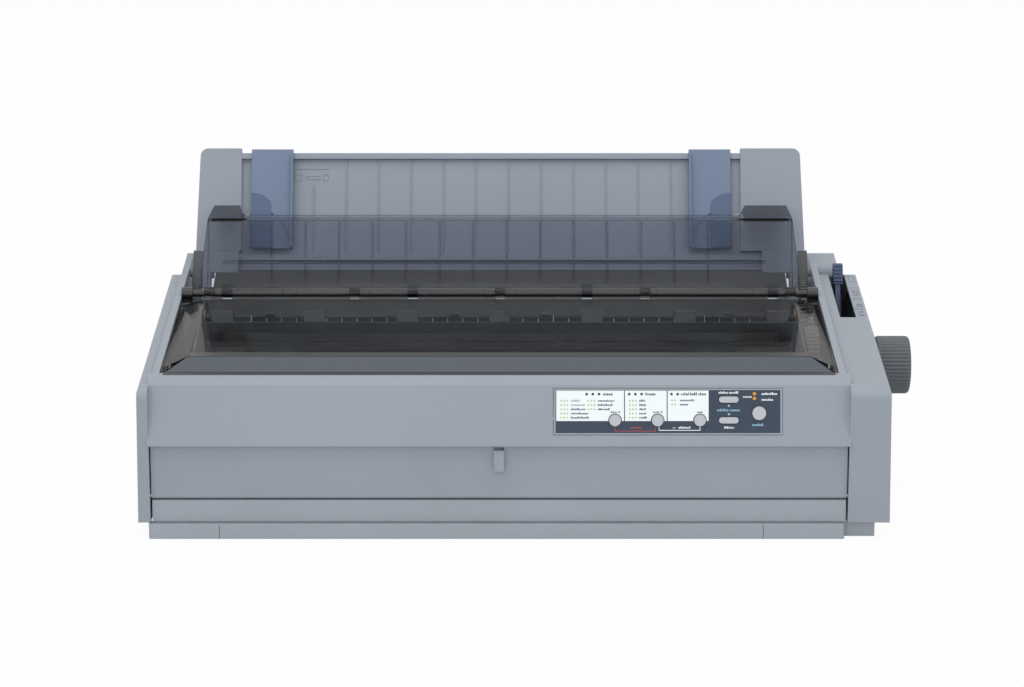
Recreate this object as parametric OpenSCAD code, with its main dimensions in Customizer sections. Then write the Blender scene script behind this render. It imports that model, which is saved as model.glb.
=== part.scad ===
// Wide desktop dot matrix printer with hinged smoked covers, a tilting sheet guide,
// push tractors and a working carriage and paper feed.
// Working axes: X from the centre of the print line, Y from the front, Z from the table.

/* [Overall] */
// Overall depth of the case
total_d = 402; // [396:1:420]
// Overall height, with the sheet guide raised
total_h = 256; // [250:1:266]

/* [Case] */
// Half width of the opening between the rims
open_half = 274; // [270:0.5:280]
// Width of the case to the left of the opening, at the base
left_side = 18; // [17:0.5:26]
// Width of the case to the right of the opening, at the base
right_side = 42; // [40:0.5:48]
// How far the platen knob stands out of the case
knob_reach = 31; // [26:0.5:36]
// Wall thickness of the moulded case
wall = 2.5; // [2:0.1:3]
// How far each side wall leans in from base to top
draft = 1.5; // [0.5:0.1:2.5]
// Slope of the shoulders and of the rim, in degrees
case_slope = 5.25; // [4:0.25:6]
// Height of the shoulders at the front
shoulder_z = 126.5; // [124:0.5:130]
// How far the shoulders run back
shoulder_len = 299; // [290:1:305]
// How far the rim stands above the shoulders
rim_rise = 5.3; // [4:0.1:7]
// How far the rim runs back
rim_len = 345; // [335:1:350]
// Width of the rim beside the opening
rim_w = 5.7; // [4:0.1:7]
// Radius along the upper outer edges
edge_r = 5; // [3:0.5:7]
// Height of the rubber feet
foot_h = 1; // [0.8:0.1:3]
// Top of the base tray
base_top = 14.3; // [12:0.1:16]
// Top of the fixed front strip
strip_top = 32.5; // [30:0.5:36]
// Lower edge of the sloping front panel
panel_low = 79; // [76:0.5:82]
// Upper edge of the sloping front panel
panel_high = 126.7; // [122:0.1:128]
// How far the front panel leans back
panel_back = 13.8; // [10:0.1:16]
// Front edge of the cover opening
rim_front = 21.7; // [20:0.1:24]
// Running gap between separate mouldings
gap = 0.5; // [0.4:0.05:0.8]

/* [Covers] */
// Thickness of the smoked covers
cover_t = 2.5; // [2:0.1:3]
// Where the bevel of the printer cover ends
bevel_end = 49; // [44:1:56]
// Height of the printer cover at the end of its bevel
bevel_z = 141.5; // [140:0.1:143]
// Tilt of the flat of the printer cover, in degrees
cover_tilt = 2.9; // [2.5:0.1:3.2]
// Width of the side bevels of the printer cover
side_bevel = 20; // [16:0.5:24]
// Distance of the hinge rod from the front
rod_y = 219; // [217:0.5:222]
// Diameter of the hinge rod
rod_d = 6; // [5:0.1:7]
// Height of the output flap
flap_h = 61; // [56:0.5:66]
// Lean of the output flap, in degrees
flap_lean = 21; // [18:0.5:24]
// Space beside the foot of the output flap
flap_space = 13.2; // [12:0.1:18]
// Depth of the lip along the top of the output flap
lip_d = 14; // [10:0.5:16]
// Depth of the wings at the ends of the lip
wing_d = 54; // [40:1:58]

/* [Sheet guide] */
// Lean of the raised sheet guide, in degrees
guide_lean = 25.8; // [22:0.1:28]
// Space beside the sheet guide
guide_space = 7.5; // [6:0.5:11]
// Thickness of the sheet guide's plate
guide_t = 2.5; // [2:0.1:3]
// Distance between the ribs of the sheet guide
rib_pitch = 28.8; // [26:0.1:30]
// Width of a sliding edge guide
edge_guide_w = 37; // [32:0.5:42]

/* [Mechanism] */
// Distance of the platen's axis from the front
platen_y = 163; // [160:0.5:166]
// Height of the platen's axis
platen_z = 104; // [102:0.5:106]
// Diameter of the platen
platen_d = 38; // [36:0.5:39]
// Diameter of the platen's shaft
platen_shaft_d = 10; // [8:0.5:12]
// Diameter of the platen knob
knob_d = 49; // [44:1:54]
// Space between the opening's edge and each side frame
frame_space = 20; // [19.5:0.5:22]
// Thickness of the steel side frames
frame_t = 2; // [1.5:0.1:2.5]
// Diameter of the carriage's main shaft
rail_d = 12; // [10:0.5:14]
// Radial running clearance of a shaft in its bore
run_fit = 0.05; // [0.03:0.01:0.09]
// Module of the gears
gear_m = 1.25; // [1.25:0.01:1.27]
// Teeth of the gear on the platen
platen_teeth = 48; // [44:4:48]

/* [Hidden] */
$fn = 48;
eps = 0.01;
clear = 0.3;
left_w = open_half + left_side;
right_w = open_half + right_side;
total_w = left_w + right_w + knob_reach;
mech_x = -total_w / 2 + left_w;
knob_end = total_w - left_w;
rise = tan(case_slope);
rim_z = shoulder_z + rim_front * rise + rim_rise;
rim_out = open_half + rim_w;
rod_z = bevel_z + (rod_y - bevel_end) * tan(cover_tilt) + 2.5;
platen_r = platen_d / 2;
frame_half = open_half - frame_space;
frame_out = frame_half + frame_t;
flap_half = open_half - flap_space;
guide_half = open_half - guide_space;

// ---- helpers ----
function arc(cy, cz, r, a0, a1, n = 6) =
    [for (i = [0 : n]) let (a = a0 + (a1 - a0) * i / n) [cy + r * cos(a), cz + r * sin(a)]];
function shoulder_at(y) = shoulder_z + y * rise;
function rim_at(y) = rim_z + (y - rim_front) * rise;
function cover_at(y) = bevel_z + (y - bevel_end) * tan(cover_tilt);

// Everything is drawn in the working axes and then set about the middle of the footprint
module placed() {
    translate([mech_x, -total_d / 2, 0]) children();
}

// Pushes an outline drawn in Y and Z along X
module along_x(x0, x1) {
    translate([x0, 0, 0]) rotate([90, 0, 90]) linear_extrude(x1 - x0) children();
}

// Pushes an outline drawn in X and Z along Y
module along_y(y0, y1) {
    translate([0, y1, 0]) rotate([90, 0, 0]) linear_extrude(y1 - y0) children();
}

module rod_x(x0, x1, y, z, d) {
    translate([x0, y, z]) rotate([0, 90, 0]) cylinder(h = x1 - x0, d = d);
}

module rod_y(y0, y1, x, z, d) {
    translate([x, y0, z]) rotate([-90, 0, 0]) cylinder(h = y1 - y0, d = d);
}

module rod_z(z0, z1, x, y, d) {
    translate([x, y, z0]) cylinder(h = z1 - z0, d = d);
}

// A box between two opposite corners
module block(a, b) {
    translate(a) cube(b - a);
}

// Draws its children on both sides of the print centre
module both_sides() {
    children();
    mirror([1, 0, 0]) children();
}

// A rounded rectangle in the plane
module rounded(w, h, r) {
    square([w - 2 * r, h], center = true);
    square([w, h - 2 * r], center = true);
    for (sx = [-1, 1], sy = [-1, 1]) translate([sx * (w / 2 - r), sy * (h / 2 - r)]) circle(r);
}

// ---- upper case ----
case_color = [0.60, 0.64, 0.68];
inner_color = [0.30, 0.31, 0.33];
steel_color = [0.72, 0.73, 0.75];
smoke_color = [0.30, 0.31, 0.35, 0.8];
rear_low = 100;
rear_sill = 88;
cover_edge = rim_out + 1.8;
pillar_in = cover_edge + gap;
pillar_y = 18;
lip_h = 11;
return_d = 9;
panel_lean = atan(panel_back / (panel_high - panel_low));
slot_x = open_half + 15.3;
slot_w = 13.8;
slot_y = 175.7;
slot_len = 116;
hump_x = open_half + 24;

// Side view of the shoulders
function shoulder_outline() = concat(
    [[3, base_top]],
    arc(9, shoulder_at(9) - 9, 8, 180, 98),
    arc(shoulder_len - 12, shoulder_at(shoulder_len - 12) - 14, 14, 95, 62),
    arc(total_d - 14, rear_low - 10, 14, 60, 0),
    [[total_d, base_top]]
);

// Side view of the rims beside the opening
function rim_outline() = concat(
    [[pillar_y, base_top], [pillar_y, rim_z - 4], [rim_front, rim_z]],
    arc(rim_len - 14, rim_at(rim_len - 14) - 14, 14, 95, 50),
    arc(total_d - 12, rear_low, 10, 45, 0),
    [[total_d - 2, base_top]]
);

// Front view of a side block: its wall leans in and its upper edge is rounded
module side_front(x_wall, inset) {
    top = shoulder_z - inset;
    x_top = x_wall - draft - inset;
    polygon(concat(
        [[0, -60], [x_wall - inset + draft * 0.7, -60]],
        arc(x_top - edge_r, top - edge_r, edge_r, 0, 90),
        [[0, top]]
    ));
}

// One side block; a positive inset gives the hollow inside it
module side_solid(x_wall, inset) {
    difference() {
        intersection() {
            along_x(open_half + inset, x_wall - inset) offset(delta = -inset) polygon(shoulder_outline());
            rotate([case_slope, 0, 0]) along_y(-60, total_d * 1.2) side_front(x_wall, inset);
        }
        block([0, -1, -1], [pillar_in + inset, pillar_y + inset, 200]);
    }
    if (inset > 0) block([pillar_in + inset, 3 + wall, 0], [x_wall - wall, total_d - wall, base_top + 4]);
}

module side_shell(x_wall) {
    difference() {
        union() {
            side_solid(x_wall, 0);
            along_x(open_half, rim_out) polygon(rim_outline());
        }
        side_solid(x_wall, wall);
        block([0, pillar_y - 1, -1], [open_half + wall + eps, total_d + 1, rear_sill]);
        block([open_half + wall, pillar_y + wall, -1], [pillar_in + wall, total_d - wall, base_top + 4]);
    }
}

module front_outline() {
    lip_y = rim_front + wall;
    polygon([[0, panel_low], [panel_back, panel_high], [rim_front, rim_z], [lip_y, rim_z], [lip_y, panel_low]]);
}

// Section of the sloping panel, the chamfer above it and the lip round the cover opening
module front_section() {
    difference() {
        front_outline();
        offset(delta = -wall) front_outline();
        // the lip is short and the lower flange is narrow, so the section is open behind
        translate([rim_front - eps, panel_low - 1]) square([wall + 1, rim_z - lip_h - panel_low + 1]);
        translate([return_d, panel_low - 1]) square([rim_front, wall + 1 + eps]);
    }
}

// Stands its children on the front panel, X across and Z up its slope
module on_panel(x, h) {
    translate([x, 0, panel_low]) rotate([-panel_lean, 0, 0]) translate([0, 0, h]) children();
}

module upper_case() placed() color(case_color) {
    difference() {
        union() {
            mirror([1, 0, 0]) side_shell(left_w);
            side_shell(right_w);
            // raised housing behind the lever slot
            along_x(open_half + 1, hump_x) polygon(concat(
                arc(rim_len - 42, rim_at(rim_len - 42) - 8, 8, 180, 98, 4),
                arc(rim_len - 14, rim_at(rim_len - 14) - 14, 14, 95, 50),
                [[rim_len + 4, shoulder_z + 8], [rim_len - 50, shoulder_z + 16]]
            ));
            along_x(-cover_edge, cover_edge) front_section();
            // closed ends of the front panel, joined to the pillars
            both_sides() along_x(pillar_in - wall, pillar_in + 1) front_outline();
            // rear wall below the paper entry
            block([-left_w + 6, total_d - wall, base_top], [right_w - 6, total_d, rear_sill]);
        }
        // window for the control panel
        on_panel(window_x, window_h) block([0, -5, 0], [window_w, 9, window_d]);
        // slot for the paper release lever
        block([slot_x, slot_y, rear_low], [slot_x + slot_w, slot_y + slot_len, 190]);
        // holes for the platen shaft
        rod_x(open_half - 1, right_w + 1, platen_y, platen_z, platen_shaft_d + 4);
        // room for the end of the feed motor
        rod_x(open_half - 1, open_half + wall + 1, pinion_p[0], pinion_p[1], motor_d + 6);
        // bores for the pins of the sheet guide
        rod_x(-open_half - wall - 1, open_half + wall + 1, guide_y, guide_z, guide_pin_d + 2 * run_fit);
        // bores for the pins of the front cover
        rod_x(-pillar_in - wall - 1, pillar_in + wall + 1, front_hinge_y, front_hinge_z, front_pin_d);
        rear_cuts();
        // opening for the power switch
        translate([-left_w - 1, switch_y, switch_z]) cube([wall + 3, switch_l, switch_w]);
    }
}

// Openings in the rear wall for the inlet and the interface sockets
module rear_cuts() {
    for (p = [inlet_box, parallel_box, usb_box, slot_box])
        block([p[0], total_d - wall - 1, p[1]], [p[0] + p[2], total_d + 1, p[1] + p[3]]);
}

// left edge, lower edge, width and height of each rear opening
inlet_box = [-left_w + 56, 30, 28, 21];
parallel_box = [right_w - 188, 34, 62, 18];
usb_box = [right_w - 212, 36, 13, 12];
slot_box = [right_w - 120, 28, 96, 28];
switch_y = 40;
switch_z = 34;
switch_l = 26;
switch_w = 14;

// ---- lower case ----
base_front = 8;
base_left = left_w - 9;
base_right = right_w - 9.5;
base_rear = total_d - 6;
chassis_z = 9;
chassis_t = 1.5;
boss_xs = [-frame_half + 24, 0, frame_half - 24];
boss_ys = [40, total_d / 2 - 1, total_d - 32];
boss_d = 12;
// ventilation slots under the power supply: first edge, spacing, width, rows and length
vent_x = -frame_half + 44;
vent_pitch = 9;
vent_w = 4;
vent_ys = [total_d - 152, total_d - 92];
vent_l = 50;

module base_outline(inset) {
    polygon([
        [-base_left + inset + 2, base_front + inset + 1], [base_right - inset - 2, base_front + inset + 1],
        [base_right - inset, base_rear - inset], [-base_left + inset, base_rear - inset]
    ]);
}

module lower_case() placed() color(case_color * 0.97) {
    difference() {
        union() {
            translate([0, 0, foot_h]) linear_extrude(base_top - foot_h + 6) base_outline(0);
            // fixed strip below the front cover
            block([-cover_edge + 1, 5, base_top], [cover_edge - 1, base_front + wall + 1, strip_top]);
        }
        translate([0, 0, foot_h + wall]) linear_extrude(strip_top) base_outline(wall);
        // ventilation slots in the floor
        for (i = [0 : 11], y = vent_ys) translate([vent_x + i * vent_pitch, y, 0])
            cube([vent_w, vent_l, foot_h + wall + 1]);
        // room for the upper case's pillars
        both_sides() block([pillar_in - clear, 0, base_top],
                           [pillar_in + wall + clear, pillar_y + wall + clear, strip_top + 1]);
        // room for the lower front edges of its rims
        both_sides() block([open_half + wall - clear, pillar_y - clear, base_top],
                           [pillar_in + wall, pillar_y + wall + clear, strip_top + 1]);
    }
    // bosses that carry the chassis
    for (x = boss_xs, y = boss_ys) difference() {
        rod_z(foot_h + wall - eps, chassis_z, x, y, boss_d);
        rod_z(foot_h + wall, chassis_z + 1, x, y, screw_d);
    }
}

// ---- feet and screws ----
screw_d = 3;
feet_xs = [-left_w + 42, right_w - 48];
feet_ys = [40, total_d - 42];

module rubber_feet() placed() color([0.12, 0.12, 0.12])
    for (x = feet_xs, y = feet_ys) rod_z(0, foot_h, x, y, 22);

module case_screws() placed() color(steel_color) {
    for (x = boss_xs, y = boss_ys) {
        rod_z(chassis_z + chassis_t, chassis_z + chassis_t + 2.2, x, y, 6);
        rod_z(foot_h + wall + 1, chassis_z + chassis_t + 1, x, y, screw_d - 0.2);
    }
}

// ---- front cover ----
front_y = 6;
front_top = panel_low - 0.6;
front_pin_d = 3;
front_hinge_y = front_y + 2.5;
front_hinge_z = strip_top + 3.2;
tab_w = 8;
tab_low = 57.6;
tab_top = 75;

module front_cover() placed() color(case_color * 0.98) {
    difference() {
        union() {
            block([-cover_edge + 0.4, front_y, front_hinge_z], [cover_edge - 0.4, front_y + wall, front_top]);
            rod_x(-cover_edge + 0.4, cover_edge - 0.4, front_hinge_y, front_hinge_z, 5);
            // stiffening flange along the inside of the upper edge
            block([-cover_edge + 6, front_y + wall - eps, front_top - 8],
                  [cover_edge - 6, front_y + wall + 5, front_top - 6]);
            // pull tab
            along_x(-tab_w / 2, tab_w / 2) polygon([
                [front_y + 1, tab_top], [front_y - 3, tab_top], [front_y - 5.5, tab_low + 3],
                [front_y - 5.5, tab_low], [front_y - 3, tab_low], [front_y + 1, tab_low + 8]
            ]);
        }
        // finger notch above the tab
        block([-tab_w / 2, front_y - 1, tab_top], [tab_w / 2, front_y + wall - 0.8, front_top + 1]);
        both_sides()
            rod_x(cover_edge - 6, cover_edge + 1, front_hinge_y, front_hinge_z, front_pin_d + 2 * run_fit);
    }
}

module front_hinge_pins() placed() color(steel_color) {
    both_sides() rod_x(cover_edge - 5, pillar_in + wall, front_hinge_y, front_hinge_z, front_pin_d);
}

// ---- printer cover ----
cover_front = rim_front + wall + gap;
cover_half = open_half - 1.2;
cover_rear = rod_y - 10;
cover_skirt = 3;
bevel_drop = 5;
knuckle_d = rod_d + 5;
cover_knuckles = [for (i = [-2 : 2]) i * (open_half - 24) / 2];
flap_knuckles = [for (i = [-1, 1]) each [i * 75, i * (flap_half - 25.8)]];
knuckle_w = 9;

// Tray shape of the printer cover, lowered and narrowed by t for its hollow
module cover_solid(t) {
    front_drop = 1.2;
    intersection() {
        along_x(-cover_half + t, cover_half - t) polygon([
            [cover_front + t, rim_z - 10], [cover_front + t, rim_z - front_drop - t * 0.7],
            [bevel_end + t * 0.3, bevel_z - t], [cover_rear + (t > 0 ? 5 : 0), cover_at(cover_rear) - t],
            [cover_rear + (t > 0 ? 5 : 0), rim_z - 10]
        ]);
        translate([0, bevel_end, bevel_z - t]) rotate([cover_tilt, 0, 0]) along_y(-60, total_d) polygon([
            [-cover_half + t, -40], [-cover_half + t, -bevel_drop], [-cover_half + side_bevel, 0],
            [cover_half - side_bevel, 0], [cover_half - t, -bevel_drop], [cover_half - t, -40]
        ]);
        // the skirt ends a little below the skin
        along_x(-cover_half, cover_half) polygon([
            [cover_front - 1, rim_z - 5], [cover_front - 1, 200], [cover_rear + 6, 200],
            [cover_rear + 6, cover_at(cover_rear) - bevel_drop - cover_skirt - t * 10],
            [bevel_end, bevel_z - bevel_drop - cover_skirt - 1 - t * 10]
        ]);
    }
}

module printer_cover() placed() color(smoke_color) {
    difference() {
        cover_solid(0);
        cover_solid(cover_t);
        rod_x(-open_half, open_half, rod_y, rod_z, knuckle_d + 2);
    }
    for (x = cover_knuckles) hinge_arm(x, cover_rear - 2, cover_at(cover_rear) - 1.3);
}

// A hinge barrel on the rod with an arm that reaches a point in Y and Z
module hinge_arm(x, y, z) {
    reach = norm([y - rod_y, z - rod_z]);
    turn = atan2(z - rod_z, y - rod_y);
    difference() {
        union() {
            rod_x(x - knuckle_w / 2, x + knuckle_w / 2, rod_y, rod_z, knuckle_d);
            translate([x, rod_y, rod_z]) rotate([turn, 0, 0])
                block([-knuckle_w / 2, 0, -1.2], [knuckle_w / 2, reach, 1.2]);
        }
        rod_x(x - knuckle_w, x + knuckle_w, rod_y, rod_z, rod_d + 2 * run_fit);
    }
}

rod_end = open_half - 2;
bracket_w = 9.4;
module cover_hinge_rod() placed() color([0.2, 0.2, 0.22]) {
    rod_x(-rod_end, rod_end, rod_y, rod_z, rod_d);
    // brackets on the rims that carry the ends of the rod
    both_sides() {
        rod_x(open_half - bracket_w, open_half, rod_y, rod_z, knuckle_d);
        block([open_half - bracket_w, rod_y - 3, rod_z - 7.5], [open_half, rod_y + 3, rod_z]);
    }
}

// ---- output flap ----
flap_y = rod_y + 16;
flap_z = rod_z + 1;
flap_top_z = flap_z + flap_h * cos(flap_lean);
flap_top_y = flap_y + flap_h * sin(flap_lean);
flap_taper = 7;
flap_ribs = 14;
flap_rib_pitch = 29.1;
flap_rib_x0 = -198;
// how far each wing reaches in from the foot's ends
wing_left = 30.8;
wing_right = 44.8;

module output_flap() placed() color(smoke_color) {
    translate([0, flap_y, flap_z]) rotate([-flap_lean, 0, 0]) {
        along_y(0, cover_t) polygon([
            [-flap_half, 0], [flap_half, 0], [flap_half - flap_taper, flap_h], [-flap_half + flap_taper, flap_h]
        ]);
        for (i = [0 : flap_ribs - 1]) {
            x = flap_rib_x0 + i * flap_rib_pitch;
            block([x - 0.7, cover_t - eps, 5], [x + 0.7, cover_t + 4, 22]);
            block([x - 0.7, cover_t - eps, 27], [x + 0.7, cover_t + 4, flap_h - 3]);
        }
        // stop rail between the two rows of ribs
        block([-flap_half + 20.8, cover_t - eps, 22 - eps], [flap_half - 30.8, cover_t + 3, 24]);
    }
    // lip and wings along the top, level with the table
    right = flap_half - wing_right;
    left = -flap_half + wing_left;
    translate([0, 0, flap_top_z - cover_t]) linear_extrude(cover_t) polygon([
        [-flap_half + flap_taper, flap_top_y], [flap_half - flap_taper, flap_top_y],
        [flap_half - flap_taper - 1, flap_top_y + wing_d], [right, flap_top_y + wing_d],
        [right - 5, flap_top_y + lip_d + 10], [right - 12, flap_top_y + lip_d],
        [left + 11, flap_top_y + lip_d], [left + 4, flap_top_y + lip_d + 10], [left, flap_top_y + wing_d],
        [-flap_half + flap_taper + 1, flap_top_y + wing_d]
    ]);
    // end walls behind the plate
    both_sides() along_x(flap_half - flap_taper - cover_t, flap_half - flap_taper) polygon([
        [flap_y + 1, flap_z], [flap_top_y + 1, flap_top_z - eps], [flap_top_y + lip_d, flap_top_z - eps],
        [flap_y + lip_d * 0.7, flap_z]
    ]);
    for (x = flap_knuckles) hinge_arm(x, flap_y + 1, flap_z + 1.5);
}

// ---- sheet guide ----
guide_y = 297;
guide_z = 152;
guide_pin_d = 6;
side_raise = 6;
guide_len = (total_h - guide_z - side_raise * sin(guide_lean)) / cos(guide_lean);
guide_low = 19;
guide_foot_half = guide_half + 2.5;
side_left_in = guide_half - 37.5;
side_right_in = guide_half - 54;
plate_low = 2.5;
plate_left = guide_half - 24.5;
plate_right = guide_half - 34.5;
rail_low = guide_len - 9.4;
rail_high = guide_len - 4.2;
rail_raise = 4;
corner_r = 7;

module on_guide() {
    translate([0, guide_y, guide_z]) rotate([-guide_lean, 0, 0]) children();
}

// Outline of a side piece of the sheet guide, with a round outer corner at its top
module guide_side_outline(x_in) {
    x_top = guide_half;
    polygon(concat(
        [[x_in, guide_low], [guide_foot_half, guide_low]],
        arc(x_top - corner_r, guide_len - corner_r, corner_r, 0, 90),
        [[x_in + 1, guide_len]]
    ));
}

module sheet_guide() placed() color(case_color * 0.98) on_guide() {
    half_t = guide_t / 2;
    // plate between the side pieces
    block([-side_left_in - 1, -half_t, guide_low], [side_right_in + 1, half_t, rail_high]);
    // it carries on below them, with a ledge across
    block([-plate_left, -half_t, plate_low], [plate_right, half_t, guide_low + eps]);
    block([-plate_left, -half_t - 3, 11], [plate_right, 0, 16]);
    along_y(-side_raise, half_t) guide_side_outline(side_right_in);
    mirror([1, 0, 0]) along_y(-side_raise, half_t) guide_side_outline(side_left_in);
    // rail that the edge guides slide on
    block([-side_left_in - 1, -half_t - rail_raise, rail_low], [side_right_in + 1, 0, rail_high]);
    // ribs that the paper lies on
    for (i = [0 : 10])
        block([guide_rib_x0 + i * rib_pitch - 0.6, -half_t - 1, guide_low],
              [guide_rib_x0 + i * rib_pitch + 0.6, 0, rail_low + eps]);
    block([guide_rib_x0 - rib_pitch - 0.6, -half_t - 1, guide_low], [guide_rib_x0 - rib_pitch + 0.6, 0, 80]);
    // arms and pins at the foot
    both_sides() {
        block([guide_foot_half - 16, -half_t - 1.5, 0], [guide_foot_half - 5.5, half_t + 1.5, guide_low + 2]);
        rod_x(guide_foot_half - 16, guide_foot_half - 5.5, 0, 0, 9);
        rod_x(guide_foot_half - 6.5, open_half + wall - 0.5, 0, 0, guide_pin_d);
    }
}
guide_rib_x0 = -136.7;

// x is the inner edge and side is the way that the outer edge lies
module edge_guide(x, side) placed() color([0.47, 0.55, 0.66]) on_guide() {
    half_t = guide_t / 2;
    y0 = -half_t - rail_raise - clear;
    lip = 1.6;
    translate([x, 0, 0]) scale_x(side) {
        // face plate with its lower outer corner cut away in a curve
        along_y(y0 - 2.5, y0) difference() {
            translate([0, guide_low + 2]) square([edge_guide_w, guide_len - guide_low - 3.5]);
            translate([edge_guide_w + 6, guide_low]) circle(r = 42);
        }
        // darker inner plate that carries on down behind the face
        block([0, y0 - 1, guide_low + 2], [edge_guide_w - 3, y0, guide_len - 30]);
        // fence along the inner edge
        block([0, y0 - 7, guide_low + 2], [1.8, y0 - 2.4, guide_len - 6]);
        // hooks over and under the rail
        block([2, y0 - eps, rail_high + clear], [edge_guide_w - 2, -half_t, rail_high + clear + lip]);
        block([2, y0 - eps, rail_low - clear - lip], [edge_guide_w - 2, -half_t - 1.4, rail_low - clear]);
    }
}

module scale_x(side) {
    if (side < 0) mirror([1, 0, 0]) children();
    else children();
}

module edge_guide_left() {
    edge_guide(-183.8, -1);
}

module edge_guide_right() {
    edge_guide(167.4, 1);
}

// ---- control panel ----
window_x = 43.5;
window_w = 184.5;
window_h = 9.4;
window_d = 37.7;
panel_t = 1;
button_h = 21.2;
round_xs = [93.2, 127.4, 161.4];
pill_x = 184.6;
pill_high = 37.9;
pause_x = 209;
pause_h = 26.9;
round_d = 9.5;
pause_d = 11;
pill_w = 15.8;
pill_d = 5;

// Every button's outline, grown by s
module round_button_shape(i, s) {
    translate([round_xs[i], button_h]) circle(d = round_d + 2 * s);
}

module pill_shape(h, s) {
    translate([pill_x, h]) {
        square([pill_w - pill_d, pill_d + 2 * s], center = true);
        for (sx = [-1, 1]) translate([sx * (pill_w - pill_d) / 2, 0]) circle(d = pill_d + 2 * s);
    }
}

module button_holes(s) {
    for (i = [0 : 2]) round_button_shape(i, s);
    pill_shape(pill_high, s);
    pill_shape(button_h, s);
    translate([pause_x, pause_h]) circle(d = pause_d + 2 * s);
}

module control_panel() placed() color(case_color) on_panel(0, 0) {
    difference() {
        union() {
            block([window_x + clear, -0.4, window_h + clear],
                  [window_x + window_w - clear, 3.4, window_h + window_d - clear]);
            for (x = [window_x + 8, window_x + window_w - 14])
                block([x, 3, window_h + 3], [x + 6, 9, window_h + 9]);
        }
        // seat of the overlay
        block([window_x + 2, -1, window_h + 1.6],
              [window_x + window_w - 2, panel_t - 0.4, window_h + window_d - 1.6]);
        along_y(-1, 10) button_holes(clear);
    }
}

module panel_overlay() placed() color([0.28, 0.31, 0.36]) on_panel(0, 0) {
    difference() {
        block([window_x + 2.2, -0.2, window_h + 1.8],
              [window_x + window_w - 2.2, panel_t - 0.4, window_h + window_d - 1.8]);
        along_y(-1, 10) button_holes(clear);
    }
    status_lamps();
}

// Stem that carries a button back to its switch on the board
module button_body(x, h, d) {
    children();
    translate([0, 0, h]) rod_y(1, 8.6, x, 0, d);
    translate([0, 0, h]) rod_y(4, 5.5, x, 0, d + 3);
}

module round_button(i) placed() color([0.72, 0.74, 0.77]) on_panel(0, 0)
    button_body(round_xs[i], button_h, 4) along_y(-1.6, 3.6) round_button_shape(i, 0);

module pill_button(h) placed() color([0.72, 0.74, 0.77]) on_panel(0, 0)
    button_body(pill_x, h, 3) along_y(-1.4, 3.6) pill_shape(h, 0);

module font_button() { round_button(0); }
module pitch_button() { round_button(1); }
module tear_off_button() { round_button(2); }
module load_button() { pill_button(pill_high); }
module line_feed_button() { pill_button(button_h); }

module pause_button() placed() color([0.82, 0.83, 0.85]) on_panel(0, 0)
    button_body(pause_x, pause_h, 5) along_y(-1.8, 3.6) translate([pause_x, pause_h]) circle(d = pause_d);

board_y = 10;
module panel_board() placed() color([0.15, 0.35, 0.22]) on_panel(0, 0) {
    block([window_x + 4, board_y, window_h + 1],
          [window_x + window_w - 4, board_y + 1.6, window_h + window_d - 1]);
    // key switches under the buttons
    for (x = round_xs) translate([0, 0, button_h]) rod_y(board_y - 0.3, board_y + eps, x, 0, 6);
    for (h = [pill_high, button_h]) translate([0, 0, h]) rod_y(board_y - 0.3, board_y + eps, pill_x, 0, 4);
    translate([0, 0, pause_h]) rod_y(board_y - 0.3, board_y + eps, pause_x, 0, 6);
}

led_d = 1.2;
// columns and rows of indicator lamps: first column, first row, columns, rows
led_groups = [[49.9, 23.4, 3, 5], [71.8, 30.2, 3, 3], [105, 23.4, 3, 5], [139, 34, 2, 2]];
led_px = 2.5;
led_pz = 3.4;
module status_lamps() color([0.35, 0.75, 0.35]) {
    for (g = led_groups, i = [0 : g[2] - 1], j = [0 : g[3] - 1])
        translate([0, 0, g[1] + j * led_pz]) rod_y(-0.45, -0.2, g[0] + i * led_px, 0, led_d);
    for (h = [38.9, 42.6]) translate([0, 0, h]) rod_y(-0.6, -0.2, 205.2, 0, 2.6);
}

// ---- frame ----
frame_front = 30;
frame_rear = total_d - 22;
frame_low = chassis_z + chassis_t;
flange_t = 1.5;

// Side view of a steel side frame
module frame_outline() {
    polygon([
        [frame_front, frame_low], [frame_front, 72], [70, 96], [120, 128], [200, 142], [232, 142],
        [250, 132], [330, 132], [frame_rear, 128], [frame_rear, frame_low]
    ]);
}

module side_frame(x0, x1) placed() color(steel_color) {
    difference() {
        along_x(x0, x1) frame_outline();
        rod_x(x0 - 1, x1 + 1, platen_y, platen_z, platen_shaft_d + 6);
        rod_x(x0 - 1, x1 + 1, rail_y, rail_z, rail_d);
        rod_x(x0 - 1, x1 + 1, rail2_y, rail2_z, rail2_d);
        rod_x(x0 - 1, x1 + 1, roller_y, roller_z, roller_shaft_d + 6);
        rod_x(x0 - 1, x1 + 1, tractor_y, tractor_z, tractor_shaft_d + 5);
        rod_x(x0 - 1, x1 + 1, tractor_y2, tractor_z, tractor_shaft_d);
        // lightening holes
        for (y = [270, 310]) rod_x(x0 - 1, x1 + 1, y, 60, 26);
        rod_x(x0 - 1, x1 + 1, 215, 40, 22);
    }
    // flange that stands on the chassis
    fx = x0 > 0 ? x0 - 12 : x0;
    block([fx, frame_front + 20, frame_low], [fx + 14, frame_rear - 20, frame_low + flange_t]);
}

module side_frame_left() { side_frame(-frame_out, -frame_half); }

module side_frame_right() {
    side_frame(frame_half, frame_out);
    placed() color(steel_color) {
        // studs for the feed gears and the release lever
        for (p = stud_points) rod_x(frame_out - eps, p[2], p[0], p[1], stud_d);
        rod_x(frame_out - eps, lever_x + 8, lever_y, lever_z, lever_stud_d);
    }
}

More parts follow.
